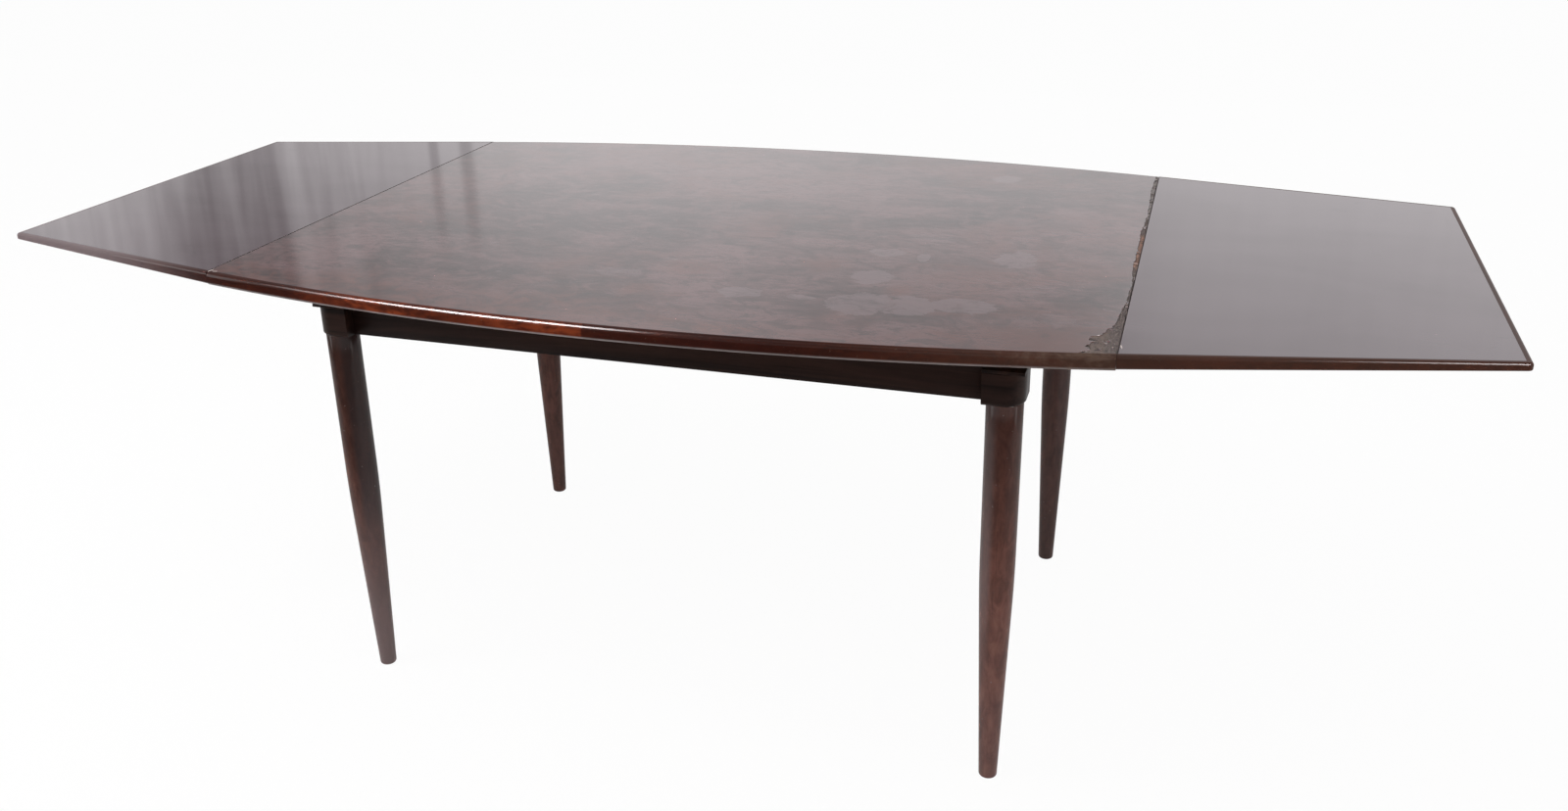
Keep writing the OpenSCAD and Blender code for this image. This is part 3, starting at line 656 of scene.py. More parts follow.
def edge_profile(upper, lower, groove, low):
    """Section of a lipping as pairs: how far in from the outer face, and the height."""
    points = [(LIPPING, low), (LIPPING, TOP_Z - groove), (LIPPING - groove, TOP_Z)]
    points += [(upper - upper * math.sin(a), TOP_Z - upper + upper * math.cos(a))
               for a in quarter_turn(UPPER_TURNS)]
    points += [(lower - lower * math.cos(a), low + lower - lower * math.sin(a))
               for a in quarter_turn(LOWER_TURNS)]
    return points


def lumps(x, y, z):
    """Smooth noise about 0 at a point."""
    return noise.noise(Vector((x, y, z)))


def dent_at(x, y, z, depth):
    """How far small dents push the edge in at a point of the table."""
    soft = lumps(x * 14, y * 14, z * 40)
    sharp = lumps(x * 70 + 5, y * 70, z * 90)
    return depth * (max(0.0, soft - 0.15) * 1.1 + max(0.0, sharp - 0.42) * 1.6)


def top_side_lipping(face, sizes):
    """Rings of a curved lipping, each in a plane across the table."""
    rings = []
    for i in range(LIPPING_STEPS + 1):
        x = -SEAM_X + 2 * SEAM_X * i / LIPPING_STEPS
        ring = []
        for inset, z in edge_profile(sizes.upper_round, sizes.lower_round, sizes.groove, TOP_UNDER):
            inset += dent_at(x, face, z, sizes.dent) if inset < LIPPING * 0.6 else 0.0
            ring.append((x, face * side_y(x, inset), z))
        rings.append(ring)
    return rings


def leaf_side_lipping(side, face, sizes):
    """Rings of a leaf's side lipping, which runs round the leaf's outer corner."""
    corner = sizes.tip_round
    stations = [("side", LEAF_X0 + (LEAF_LENGTH - corner) * i / LEAF_STEPS) for i in range(LEAF_STEPS)]
    stations += [("side", LEAF_X1 - corner)]
    stations += [("corner", a) for a in quarter_turn(TIP_TURNS)[1:-1]]
    stations += [("end", corner), ("end", LIPPING)]
    rings = []
    for kind, at in stations:
        ring = []
        x_here = at if kind == "side" else LEAF_X1 - corner / 2
        for inset, z in edge_profile(sizes.leaf_round, sizes.leaf_lower_round, sizes.groove,
                                     leaf_low(x_here)):
            from_side, from_end = inset, LEAF_X1 - x_here
            if kind == "side":
                from_end = max(LEAF_X1 - at, inset)
            elif kind == "corner" and inset < corner:
                from_side = corner - (corner - inset) * math.cos(at)
                from_end = corner - (corner - inset) * math.sin(at)
            elif kind == "corner":
                from_side = from_end = inset
            else:
                from_side, from_end = max(at, inset), inset
            x = LEAF_X1 - from_end
            dent = dent_at(x, face, z, sizes.dent) if inset < LIPPING * 0.5 and kind == "side" else 0.0
            ring.append((side * x, face * leaf_y(x, from_side + dent), z))
        rings.append(ring)
    return rings


def leaf_outer_lipping(side, sizes):
    """Rings of the lipping across a leaf's outer end, between its side lippings."""
    rings = []
    for i in range(LEAF_STEPS + 1):
        share = -1 + 2 * i / LEAF_STEPS
        ring = []
        for inset, z in edge_profile(sizes.leaf_round, sizes.leaf_lower_round, sizes.groove,
                                     leaf_low(LEAF_X1 - LIPPING / 2)):
            dent = dent_at(share, side, z, sizes.dent) if inset < LIPPING * 0.5 else 0.0
            x = LEAF_X1 - inset - dent
            ring.append((side * x, share * leaf_y(x, LIPPING), z))
        rings.append(ring)
    return rings


# The strip of lost veneer: place along the seam as a share of its half length, share of the common width
STRIP = ((-1.0, 0.9), (-0.58, 0.7), (-0.40, 0.25), (-0.21, 1.15), (0.0, 1.0), (0.18, 1.25), (0.40, 0.45),
         (0.75, 1.15), (1.0, 0.85))
# The lost corner: place along its run, share of its width. The veneer breaks off in steps.
CORNER = ((0.0, 1.0), (0.06, 0.97), (0.20, 0.84), (0.30, 0.80), (0.335, 0.52), (0.42, 0.46), (0.45, 0.27),
          (0.60, 0.16), (0.80, 0.08), (1.0, 0.0))
# Half length of the seam between the lippings, and the zone beside it in which the veneer may be torn
HALF_SEAM = END_Y - LIPPING
TORN_ZONE = 0.07
# The torn edge: how far before it, and how far below the face
TORN_EDGE = ((0.0016, 0.0), (0.0008, 0.0), (0.0003, 0.00003), (0.0, 0.0002))
# The bared strip: how far it reaches under the veneer, its least height, and its fibres' and ridges' height
UNDER_VENEER = 0.0006
GROUND_LOW, FIBRE_RISE, RIDGE_RISE = 0.00004, 0.00034, 0.0002
# How far painted shade reaches from the torn veneer, and how far grime reaches from the seam
TEAR_SHADE, SEAM_GRIME = 0.0014, 0.0010


def between(points, at):
    """The value at a place between given points, on straight lines."""
    for (a, low), (b, high) in zip(points, points[1:]):
        if at <= b:
            return low + (high - low) * max(0.0, at - a) / (b - a)
    return points[-1][1]


def chip_width(y, sizes):
    """Width of veneer that is lost along the right seam at y."""
    jag = 0.30 * lumps(y * 45, 3.1, 0) + 0.25 * lumps(y * 130, 7.7, 0)
    splinter = max(0.0, lumps(y * 260, 1.3, 0)) * 0.30
    width = sizes.chip_strip * max(0.12, between(STRIP, y / HALF_SEAM) + jag + splinter)
    ragged = 1 + 0.26 * lumps(y * 110, 4.4, 0) + 0.18 * lumps(y * 290, 9.4, 0)
    return width + sizes.chip_corner * between(CORNER, (y + HALF_SEAM) / sizes.chip_corner_run) * ragged


def arris_drop(run, arris):
    """How far a worn edge falls at a distance from it."""
    share = min(1.0, max(0.0, run / arris))
    return arris * 0.8 * (1 - math.sqrt(1 - (1 - share) ** 2)) if share < 1 else 0.0


# Places across a worn seam edge, as shares of its width, with two on the flat beyond it
ARRIS_STEPS = (0.0, 0.2, 0.5, 1.0, 1.5, 2.5)


def main_sheet(sizes):
    """The main top's veneer, torn along the right seam."""
    columns = [-SEAM_X + sizes.arris * f for f in ARRIS_STEPS]
    columns += [-SEAM_X + (2 * SEAM_X - TORN_ZONE) * i / VENEER_COLUMNS
                for i in range(1, VENEER_COLUMNS + 1)]

    def row_at(share):
        torn = SEAM_X - chip_width(share * HALF_SEAM, sizes)
        heights = [(x, TOP_Z - arris_drop(x + SEAM_X, sizes.arris)) for x in columns]
        heights += [(torn - run, TOP_Z - drop) for run, drop in TORN_EDGE]
        return [(x, share * side_y(x, LIPPING), z) for x, z in heights]

    return plate(VENEER_ROWS, row_at)


def ground_sheet(sizes):
    """The bared strip between the torn veneer and the seam, with torn fibres and small ridges."""
    def row_at(share):
        torn = SEAM_X - chip_width(share * HALF_SEAM, sizes) - UNDER_VENEER
        row = []
        for k in range(GROUND_COLUMNS + 1):
            x = torn + (SEAM_X - torn) * k / GROUND_COLUMNS
            y = share * side_y(x, LIPPING)
            rough = 0.5 + 0.5 * lumps(x * 420, y * 160, 2.0)
            ridge = max(0.0, lumps(x * 900, y * 300, 6.0))
            edge = 0.35 if k == GROUND_COLUMNS else 1.0
            row.append((x, y, FACE_UNDER + GROUND_LOW + edge * (FIBRE_RISE * rough + RIDGE_RISE * ridge)))
        return row

    return plate(GROUND_ROWS, row_at)


def prism(start, sides):
    """Faces of a prism whose upper and then lower corners are numbered from a start."""
    low = start + sides
    faces = [tuple(range(start, low)), tuple(range(low + sides - 1, low - 1, -1))]
    return faces + [(start + k, low + k, low + (k + 1) % sides, start + (k + 1) % sides)
                    for k in range(sides)]


# Slivers in all and at the front right corner, that corner's end, and the sides of one
SLIVERS, CORNER_SLIVERS, CORNER_END, SLIVER_SIDES = 22, 6, -0.36, 7


def slivers(sizes):
    """Small splinters of veneer that are left on the bared strip."""
    dice = random.Random(11)
    verts, faces = [], []
    end = HALF_SEAM - 0.004
    for i in range(SLIVERS):
        y = dice.uniform(-end, end if i >= CORNER_SLIVERS else CORNER_END)
        width = chip_width(y, sizes)
        long = dice.uniform(0.0015, 0.005)
        wide = min(width * 0.35, dice.uniform(0.0005, 0.0022))
        x = SEAM_X - dice.uniform(0.15, 0.85) * (width - wide)
        turn = dice.uniform(-0.6, 0.6)
        start = len(verts)
        z = TOP_Z - dice.uniform(0.0001, 0.0003)
        for level in (z, FACE_UNDER + 0.0001):
            for k in range(SLIVER_SIDES):
                a = 2 * math.pi * k / SLIVER_SIDES
                r = dice.uniform(0.75, 1.1)
                along, over = long * math.cos(a) * r, wide * math.sin(a) * r
                px = x + over * math.cos(turn) + along * math.sin(turn)
                py = y + along * math.cos(turn) - over * math.sin(turn)
                verts.append((min(px, SEAM_X - 0.0001), py, level))
        faces += prism(start, SLIVER_SIDES)
    return verts, faces


def flake(place, turn, long, wide, thick=0.0003):
    """Points and faces of a thin splinter, pointed at both ends, with its middle at a place."""
    outline = ((-1.0, 0.0), (-0.4, -0.8), (0.5, -1.0), (1.0, -0.1), (0.6, 0.7), (-0.3, 1.0))
    verts = []
    for level in (thick / 2, -thick / 2):
        for along, over in outline:
            along, over = along * long / 2, over * wide / 2
            verts.append((place[0] + along * math.cos(turn) - over * math.sin(turn),
                          place[1] + along * math.sin(turn) + over * math.cos(turn), place[2] + level))
    return verts, prism(0, len(outline))


def leaf_sheet(side, sizes):
    """A leaf's veneer, with a worn arris at the seam."""
    columns = [LEAF_X0 + sizes.arris * f for f in ARRIS_STEPS]
    columns += [LEAF_X0 + (LEAF_LENGTH - LIPPING) * i / LEAF_COLUMNS for i in range(1, LEAF_COLUMNS + 1)]

    def row_at(share):
        return [(side * x, share * leaf_y(x, LIPPING), TOP_Z - arris_drop(x - LEAF_X0, sizes.arris))
                for x in columns]

    return plate(LEAF_ROWS, row_at)


# Bevel at the head of a leg: how far in and how far down
HEAD_BEVEL = 0.0008, 0.001


def leg_profile(sizes):
    """Radii and heights of a leg, from the floor up."""
    top_r = (reach("leg_front_right", X, HIGH) - reach("leg_front_right", X, LOW)) / 2
    foot_r, waist_r = sizes.foot_d / 2, sizes.waist_d / 2
    above, below = sizes.waist_z + sizes.blend / 2, sizes.waist_z - sizes.blend / 2

    def taper(z):
        return foot_r + (waist_r - foot_r) * z / sizes.waist_z

    def straight(z):
        return waist_r + (top_r - waist_r) * (z - sizes.waist_z) / (LEG_TOP - sizes.waist_z)

    rise = sizes.foot_round
    foot = taper(rise)
    points = [(foot - rise + rise * math.sin(a), rise - rise * math.cos(a))
              for a in quarter_turn(FOOT_TURNS)]
    points += [(taper(z), z) for z in [rise + (below - rise) * i / 10 for i in range(1, 10)]]
    for i in range(19):
        t = i / 18
        z = below + t * sizes.blend
        r = (1 - t) ** 2 * taper(below) + 2 * t * (1 - t) * waist_r + t * t * straight(above)
        points.append((r, z))
    head = LEG_TOP - HEAD_BEVEL[1]
    points += [(straight(z), z) for z in [above + (head - above) * i / 5 for i in range(1, 6)]]
    points.append((top_r - HEAD_BEVEL[0], LEG_TOP))
    return points


def turned(profile, centre, steps):
    """Rings of a turned piece round an upright axis."""
    return [[(centre[0] + r * math.cos(2 * math.pi * k / steps),
              centre[1] + r * math.sin(2 * math.pi * k / steps), z) for k in range(steps)]
            for r, z in profile]


def block_rings(node, side, face, sizes):
    """Rings of a corner block, square inside and rounded outside, bevelled below."""
    low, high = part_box(node)
    x_in, x_out = (low.x, high.x) if side > 0 else (-high.x, -low.x)
    y_in, y_out = (low.y, high.y) if face > 0 else (-high.y, -low.y)
    soft = sizes.board_arris

    def plan(inset):
        r = sizes.block_round - inset
        cx, cy = x_out - sizes.block_round, y_out - sizes.block_round
        loop = [(x_in, y_in), (x_out - inset, y_in)]
        loop += [(cx + r * math.cos(a), cy + r * math.sin(a)) for a in quarter_turn(BLOCK_TURNS)]
        return loop + [(x_in, y_out - inset)]

    bevel = sizes.block_bevel
    levels = [(low.z, bevel), (low.z + bevel - soft, soft), (low.z + bevel, 0.25 * soft),
              (low.z + bevel + soft, 0.0), (high.z - soft, 0.0), (high.z, soft)]
    return [[(side * x, face * y, z) for x, y in plan(inset)] for z, inset in levels]


def soft_board(name, node, material, arris):
    """A board of the frame, with softened edges, that takes the place of a plain CAD board."""
    low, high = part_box(node)
    shape = bmesh.new()
    bmesh.ops.create_cube(shape, size=1.0)
    bmesh.ops.transform(shape, verts=shape.verts, matrix=Matrix.Translation((low + high) / 2)
                        @ Matrix.Diagonal((*(high - low), 1.0)))
    bmesh.ops.bevel(shape, geom=shape.edges[:], offset=arris, segments=2, profile=0.5, affect="EDGES")
    verts = [v.co[:] for v in shape.verts]
    faces = [[v.index for v in f.verts] for f in shape.faces]
    shape.free()
    make_piece(name, (verts, faces), material, "frame", [node])


# Corners of a CAD mesh closer than this are one, and edges that turn by more degrees than this are softened
WELD_REACH, SOFT_FROM = 0.00002, 50


def dress_node(node, material, arris=0.0):
    """Gives a CAD node its finish, and softens its edges."""
    piece = NODES[node]
    if piece.material_slots:
        for place in piece.material_slots:
            place.material = material
    else:
        piece.data.materials.append(material)
    if arris:
        weld = piece.modifiers.new("Join corners", "WELD")
        weld.merge_threshold = WELD_REACH
        bevel = piece.modifiers.new("Soft edges", "BEVEL")
        bevel.width = arris
        bevel.segments = 2
        bevel.limit_method = "ANGLE"
        bevel.angle_limit = math.radians(SOFT_FROM)


# Operators


def core_wood(colours):
    return plain_wood("core_wood", "x", 0.7 * colours.core, colours.core, 0.7)


# Small splinters: place, turn, length, width
SPLIT_Y = side_y(SEAM_X, LIPPING)
SPLIT_Z = TOP_Z - 0.00005
TOP_SPLINTERS = {"splinter_seam": ((0.0020 - SEAM_X, 0.001 - SPLIT_Y, SPLIT_Z), 1.3, 0.011, 0.0026),
                 "splinter_joint": ((0.0110 - SEAM_X, -0.0012 - SPLIT_Y, SPLIT_Z), 0.15, 0.009, 0.0024),
                 "splinter_tear": ((SEAM_X - 0.004, -0.075, FACE_UNDER + 0.0005), 0.1, 0.007, 0.0012)}
LEAF_SPLINTER = ((LEAF_X0 + 0.003, 0.024 - leaf_y(LEAF_X0, LIPPING), SPLIT_Z), 1.75, 0.014, 0.0022)


class TABLE_OT_main_top(bpy.types.Operator):
    """Builds the main top: core, backing, end lippings, curved lippings, worn veneer"""
    bl_idname = "table.main_top"
    bl_label = "Main top"

    def execute(self, context):
        sizes, colours = context.scene.table_sizes, context.scene.table_colours
        for face_name, face in FACES.items():
            make_piece("main_lipping_" + face_name, sweep(top_side_lipping(face, sizes)),
                       lipping_wood("lipping_lacquer", colours, "x"), "main_top",
                       ["top_lipping_" + face_name])
        veneer = main_veneer("veneer_main", colours)
        make_piece("main_veneer", main_sheet(sizes), veneer, "main_top", ["top_veneer"],
                   second=(seam_grime("seam_grime", colours), lambda at: at.x < sizes.arris - SEAM_X))
        ground = make_piece("bared_ground", ground_sheet(sizes), bared_ground("bared_ground", colours),
                            "main_top", sharp=80.0)
        # How dark the bared strip is painted: painted shade under the edge of the torn veneer, grime along
        # the seam
        tear = ground.data.attributes.new("tear", "FLOAT", "POINT")
        for vertex, grime_and_shadow in zip(ground.data.vertices, tear.data):
            from_tear = vertex.co.x - SEAM_X + chip_width(vertex.co.y, sizes)
            from_seam = SEAM_X - vertex.co.x
            grime_and_shadow.value = max(0.0, 1 - from_tear / TEAR_SHADE, 0.8 - from_seam / SEAM_GRIME)
        make_piece("veneer_slivers", slivers(sizes), veneer, "main_top")
        for name, shape in TOP_SPLINTERS.items():
            make_piece(name, flake(*shape), pale_splinter("pale_splinter", colours), "main_top")
        for node in ("top_core", "guide_pegs"):
            dress_node(node, core_wood(colours))
        dress_node("top_backing", plain_wood("backing_wood", "x", 0.4 * colours.runner,
                                             0.8 * colours.runner, 0.55))
        for side_name in SIDES:
            dress_node("top_lipping_" + side_name, lipping_wood("lipping_across", colours, "y"))
        return {"FINISHED"}


class TABLE_OT_leaves(bpy.types.Operator):
    """Builds both leaves: core, veneer and lippings with rounded outer corners"""
    bl_idname = "table.leaves"
    bl_label = "Leaves"

    def execute(self, context):
        sizes, colours = context.scene.table_sizes, context.scene.table_colours
        along = lipping_wood("lipping_lacquer", colours, "x")
        across = lipping_wood("lipping_across", colours, "y")
        grime_and_shadow = seam_grime("seam_grime", colours)
        for side_name, side in SIDES.items():
            body = "leaf_" + side_name
            make_piece("leaf_face_" + side_name, leaf_sheet(side, sizes),
                       leaf_veneer("veneer_leaf_" + side_name, colours, side), body,
                       ["leaf_veneer_" + side_name],
                       second=(grime_and_shadow, lambda at: abs(at.x) < LEAF_X0 + sizes.arris))
            for face_name, face in FACES.items():
                edge = "%s_%s" % (face_name, side_name)
                make_piece("leaf_edge_" + edge, sweep(leaf_side_lipping(side, face, sizes)), along, body,
                           ["leaf_lipping_" + edge])
            make_piece("leaf_edge_outer_" + side_name, sweep(leaf_outer_lipping(side, sizes)), across,
                       body, ["leaf_lipping_outer_" + side_name])
            dress_node("leaf_lipping_inner_" + side_name, across)
            dress_node("leaf_core_" + side_name, core_wood(colours))
        make_piece("splinter_leaf", flake(*LEAF_SPLINTER), pale_splinter("pale_splinter", colours),
                   "leaf_right")
        return {"FINISHED"}


class TABLE_OT_legs(bpy.types.Operator):
    """Turns the four tapered legs and finishes their bolts"""
    bl_idname = "table.legs"
    bl_label = "Legs"

    def execute(self, context):
        sizes, colours = context.scene.table_sizes, context.scene.table_colours
        for node in LEG_LOOKS:
            low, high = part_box(node)
            centre = (low + high) / 2
            make_piece("turned_" + node, sweep(turned(leg_profile(sizes), centre, sizes.turns)),
                       leg_lacquer(node + "_lacquer", colours, node, centre.x), "frame",
                       [node])
        dress_node("leg_bolts", metal("zinc_steel", colours.steel))
        return {"FINISHED"}


class TABLE_OT_frame(bpy.types.Operator):
    """Builds the corner blocks, aprons, end rails and cap strips"""
    bl_idname = "table.frame"
    bl_label = "Frame"

    def execute(self, context):
        sizes, colours = context.scene.table_sizes, context.scene.table_colours
        looks = colours.frame_dark, colours.frame_light, 0.45, 0.08, 0.25, 0.06
        along = plain_wood("frame_lacquer", "x", *looks)
        across = plain_wood("frame_lacquer_across", "y", *looks)
        for face_name, face in FACES.items():
            soft_board("apron_board_" + face_name, "apron_" + face_name, along, sizes.board_arris)
            for side_name, side in SIDES.items():
                node = "block_%s_%s" % (face_name, side_name)
                make_piece("corner_" + node, sweep(block_rings(node, side, face, sizes)), along, "frame",
                           [node], 30.0)
        for side_name in SIDES:
            soft_board("rail_board_" + side_name, "end_rail_" + side_name, across, sizes.board_arris)
            soft_board("cap_board_" + side_name, "cap_strip_" + side_name, across, sizes.board_arris)
        dress_node("frame_dowels", core_wood(colours))
        return {"FINISHED"}


class TABLE_OT_runners(bpy.types.Operator):
    """Finishes the sliding works: lopers, guides, hold-down rails, bearers, centre board"""
    bl_idname = "table.runners"
    bl_label = "Runners and centre board"

    def execute(self, context):
        sizes, colours = context.scene.table_sizes, context.scene.table_colours
        along, across = (plain_wood("runner_" + way, axis, 0.6 * colours.runner, colours.runner, 0.5)
                         for way, axis in (("along", "x"), ("across", "y")))
        steel = metal("zinc_steel", colours.steel)
        for node in ("bearer_front", "bearer_rear"):
            dress_node(node, along, sizes.board_arris)
        dress_node("centre_board", across, sizes.board_arris)
        for side_name in SIDES:
            dress_node("hold_rail_" + side_name, across, sizes.board_arris)
            for name in ("loper_front_", "loper_rear_", "loper_guides_", "loper_stops_"):
                dress_node(name + side_name, along, sizes.board_arris)
            dress_node("loper_wedges_" + side_name, along)
            dress_node("loper_screws_" + side_name, steel)
        for node in ("guide_screws", "bearer_screws", "centre_board_screws", "hold_rail_screws"):
            dress_node(node, steel)
        return {"FINISHED"}


# Half width of the floor
FLOOR_HALF = 30.0
# The wall behind the table that the top mirrors: its place, and its ends and height
WALL_Y, WALL_LEFT, WALL_RIGHT, WALL_TOP = 5, -12, 10, 6
# Where the wall's level changes: start, end, rise
WALL_STEPS = ((-1.7, -0.5, -0.09), (0.2, 1.0, 0.10), (1.0, 2.2, 0.06), (-5.4, -6.7, 0.42))
# The middle of its hanging, and the dark bars beside that: place, half width
HANGING_X = -5.05
BARS = ((-3.64, 0.050), (-3.42, 0.065))
BAR_DEPTH = 0.34
# The mirrored vault over the front edge: radius, ends, arc in degrees, and where it starts to show
VAULT_R, VAULT_LEFT, VAULT_RIGHT = 2.9, -7.0, 5.0
VAULT_FROM, VAULT_TO, VAULT_STEPS = 34, 152, 24
VAULT_LOW = 2.35
# Soft lamps: size, place, target
LAMPS = {"overhead": ((3.0, 2.0), (0.3, -0.6, 3.2), (0, 0, 0.7)),
         "key": ((0.45, 0.45), (-1.9, -1.1, 3.2), (-0.2, -0.2, 0.6)),
         "side": ((0.5, 1.8), (-3.0, -1.6, 1.1), (0, 0, 0.5)),
         "right": ((0.5, 1.8), (3.4, -0.9, 0.9), (0.5, 0, 0.5))}
# The camera of the photo: place, turns, focal length in mm, shift of the picture
EYE = (0.7526, -2.0646, 1.3566)
YAW, PITCH, ROLL = (math.radians(turn) for turn in (-19.437, 21.31, -1.624))
LENS, SHIFT_X, SHIFT_Y = 31.70, 0.0280, -0.0336


def stage_mesh(name, verts, faces, finish):
    """A mesh of the stage, which isn't a part of the table."""
    mesh = bpy.data.meshes.new(name)
    mesh.from_pydata(verts, [], faces)
    mesh.materials.append(finish.material)
    made = bpy.data.objects.new(name, mesh)
    bpy.context.scene.collection.objects.link(made)
    return made


def glowing_panel(name, verts, faces, finish, level):
    """A glowing panel that only gloss sees."""
    finish.show(finish.value("ShaderNodeEmission", [(1.0, 0.975, 0.988), level]))
    panel = stage_mesh(name, verts, faces, finish)
    panel.visible_camera = panel.visible_diffuse = panel.visible_shadow = False
    panel.visible_transmission = panel.visible_volume_scatter = False


class TABLE_OT_stage(bpy.types.Operator):
    """Sets the pale floor, the soft lamps, the sky and the camera"""
    bl_idname = "table.stage"
    bl_label = "Stage"

    def execute(self, context):
        studio = context.scene.table_studio
        self.floor(context.scene.table_colours, studio)
        self.backdrop(studio)
        self.vault(studio)
        self.sky(context.scene, studio)
        self.lamps(studio)
        self.camera(context.scene)
        return {"FINISHED"}

    def floor(self, colours, studio):
        finish = Finish("floor_paint", 0.9)
        finish.wash(finish.grain(0.7, 2), colours.floor, 0.985 * colours.floor)
        # The eye and the gloss see the floor nearer to white, and it keeps the table's shadow. In front of
        # the table gloss sees it dark, so that the fronts of the legs stay dark and their sides are pale
        level = finish.sums("MAXIMUM", finish.ray("Camera"), finish.axis(Y).step(-1.5, -0.6, 0.2, 1.0))
        white = finish.value("ShaderNodeEmission", [(1.0, 1.0, 1.0), level])
        lift = finish.seen_or_mirrored() * studio.floor_lift
        finish.show(finish.value("ShaderNodeMixShader", [lift, finish.surface, white]))
        stage_mesh("floor", [(FLOOR_HALF * x, FLOOR_HALF * y, 0)
                             for x, y in ((-1, -1), (1, -1), (1, 1), (-1, 1))], [(0, 1, 2, 3)], finish)

    def backdrop(self, studio):
        """The far wall that the top mirrors: brighter to the right, with a folded hanging at the left."""
        finish = Finish("backdrop_glow")
        across, up = finish.axis(X), finish.axis(Z)
        level = across.step(-4.6, -2.6, 0.90, 1.32)
        for start, end, rise in WALL_STEPS:
            level = level + across.step(start, end, 0.0, rise)
        # The wall darkens upwards, as far as the right end
        level = level - across.step(-2.2, -1.0, 0.22, 0.40) * across.step(0.7, -0.1) * up.step(1.9, 2.9)
        # The hanging, wider at its top
        middle = abs(across - HANGING_X) / up.step(1.9, 2.6, 0.55, 1.0)
        level = level - middle.step(0.95, 0.3) * across.step(-4.70, -4.80) * studio.curtain
        folds = finish.grain((6.5, 1.0, 0.5), 5, 0.7, 0.7).step(0.30, 0.70, -0.5, 0.5)
        level = level + across.step(-3.7, -4.3, 0.04, 0.24) * folds
        for bar, half in BARS:
            level = level - abs(across - bar).step(half, 0.3 * half) * up.step(2.7, 2.1) * BAR_DEPTH
        # It turns to the white of the sky at its borders
        inner = up.step(5.5, 4.0) * across.step(9.0, 6.0) * across.step(-11.0, -8.0)
        glowing_panel("backdrop", [(WALL_LEFT, WALL_Y, 0), (WALL_RIGHT, WALL_Y, 0),
                                   (WALL_RIGHT, WALL_Y, WALL_TOP), (WALL_LEFT, WALL_Y, WALL_TOP)],
                      [(0, 1, 2, 3)], finish, (level - 1.0) * inner + 1.0)

    def vault(self, studio):
        """A dim vault with one long strip of light at the left, for the rounded edges to mirror."""
        finish = Finish("vault_glow")
        across, up = finish.axis(X), finish.axis(Z)
        strip = across.step(-3.7, -2.3, 0.12, 1.0) * across.step(-0.9, -1.6) * across.step(-4.2, -3.8)
        strip = strip + across.step(2.15, 2.8, 0.0, 0.40)
        # The strip lies in front, so that the flat top doesn't mirror it from above
        front = finish.axis(Y).step(-1.15, -1.60) * up.step(VAULT_LOW, VAULT_LOW + 0.4)
        dim = across.step(-1.2, -0.4, 0.0, -0.65) * up.step(VAULT_LOW, VAULT_LOW + 0.5)
        verts = []
        for i in range(VAULT_STEPS + 1):
            turn = math.radians(VAULT_FROM + (VAULT_TO - VAULT_FROM) * i / VAULT_STEPS)
            y, z = -MID_Y + VAULT_R * math.cos(turn), TOP_Z + VAULT_R * math.sin(turn)
            verts += [(VAULT_LEFT, y, z), (VAULT_RIGHT, y, z)]
        glowing_panel("vault", verts, [(i, i + 1, i + 3, i + 2) for i in range(0, 2 * VAULT_STEPS, 2)],
                      finish, strip * front * studio.strip + dim + 1.0)

    def sky(self, scene, studio):
        scene.world = bpy.data.worlds.new("studio")
        scene.world.use_nodes = True
        tree = Tree(scene.world.node_tree, "ShaderNodeOutputWorld")
        soft = tree.value("ShaderNodeBackground", [(0.8, 0.8, 0.8), studio.sky])
        white = tree.value("ShaderNodeBackground", [(1.0, 1.0, 1.0), 1.0])
        tree.show(tree.value("ShaderNodeMixShader", [tree.seen_or_mirrored(), soft, white]))

    def lamps(self, studio):
        for name, (size, place, target) in LAMPS.items():
            data = bpy.data.lights.new(name, "AREA")
            data.shape = "RECTANGLE"
            data.size, data.size_y = size
            data.energy = getattr(studio, name)
            lamp = bpy.data.objects.new(name, data)
            lamp.location = place
            lamp.rotation_euler = (Vector(target) - Vector(place)).to_track_quat("-Z", "Y").to_euler()
            bpy.context.scene.collection.objects.link(lamp)

    def camera(self, scene):
        data = bpy.data.cameras.new("camera")
        data.sensor_width = 36.0
        data.lens = LENS
        data.shift_x, data.shift_y = SHIFT_X, SHIFT_Y
        data.clip_start, data.clip_end = 0.05, 100.0
        camera = bpy.data.objects.new("camera", data)
        camera.matrix_world = Matrix.Translation(EYE)
        for angle, axis in ((-YAW, "Z"), (math.pi / 2 - PITCH, "X"), (ROLL, "Z")):
            camera.matrix_world @= Matrix.Rotation(angle, 4, axis)
        bpy.context.scene.collection.objects.link(camera)
        scene.camera = camera
        scene.view_settings.view_transform = "Standard"


class TABLE_PT_panel(bpy.types.Panel):
    """Lists the pieces of the table"""
    bl_idname = "TABLE_PT_panel"
    bl_label = "Draw-leaf table"
    bl_space_type = "VIEW_3D"
    bl_region_type = "UI"
    bl_category = "Table"

    def draw(self, context):
        for piece in PIECES:
            self.layout.operator(piece.bl_idname)
        for group in (context.scene.table_sizes, context.scene.table_colours, context.scene.table_studio):
            box = self.layout.box()
            for key in group.__annotations__:
                box.prop(group, key)


GROUPS = {"table_sizes": TableSizes, "table_colours": TableColours, "table_studio": TableStudio}
PIECES = (TABLE_OT_main_top, TABLE_OT_leaves, TABLE_OT_legs, TABLE_OT_frame, TABLE_OT_runners,
          TABLE_OT_stage)


def register():
    for made in (*GROUPS.values(), *PIECES, TABLE_PT_panel):
        bpy.utils.register_class(made)
    for key, group in GROUPS.items():
        setattr(bpy.types.Scene, key, PointerProperty(type=group))


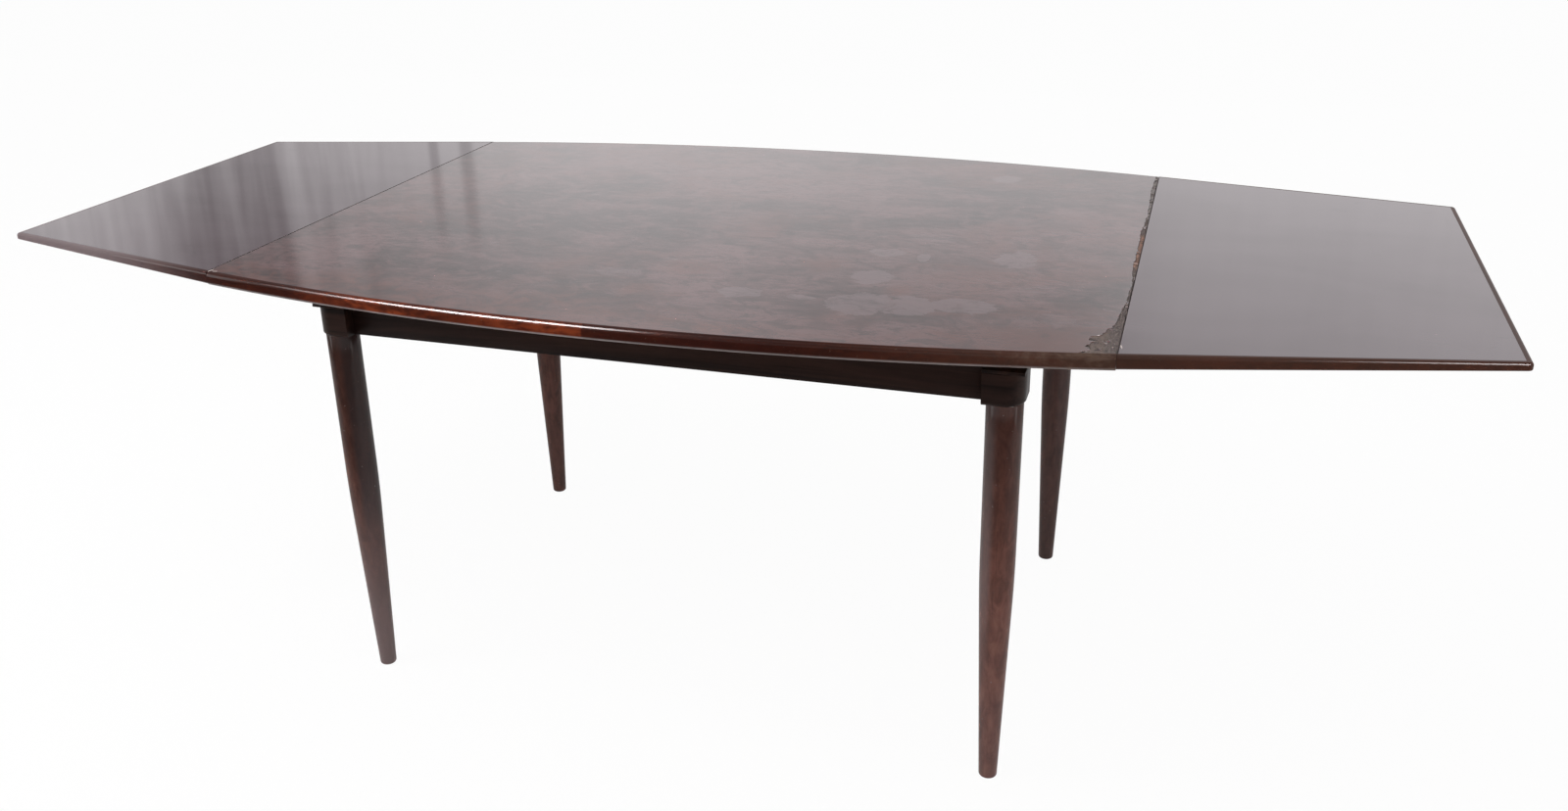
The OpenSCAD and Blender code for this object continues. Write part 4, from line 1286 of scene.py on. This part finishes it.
def unregister():
    for key in GROUPS:
        delattr(bpy.types.Scene, key)
    for made in (TABLE_PT_panel, *reversed(PIECES), *reversed(list(GROUPS.values()))):
        bpy.utils.unregister_class(made)


def main():
    register()
    for piece in PIECES:
        group, name = piece.bl_idname.split(".")
        getattr(getattr(bpy.ops, group), name)()


if __name__ == "__main__":
    main()
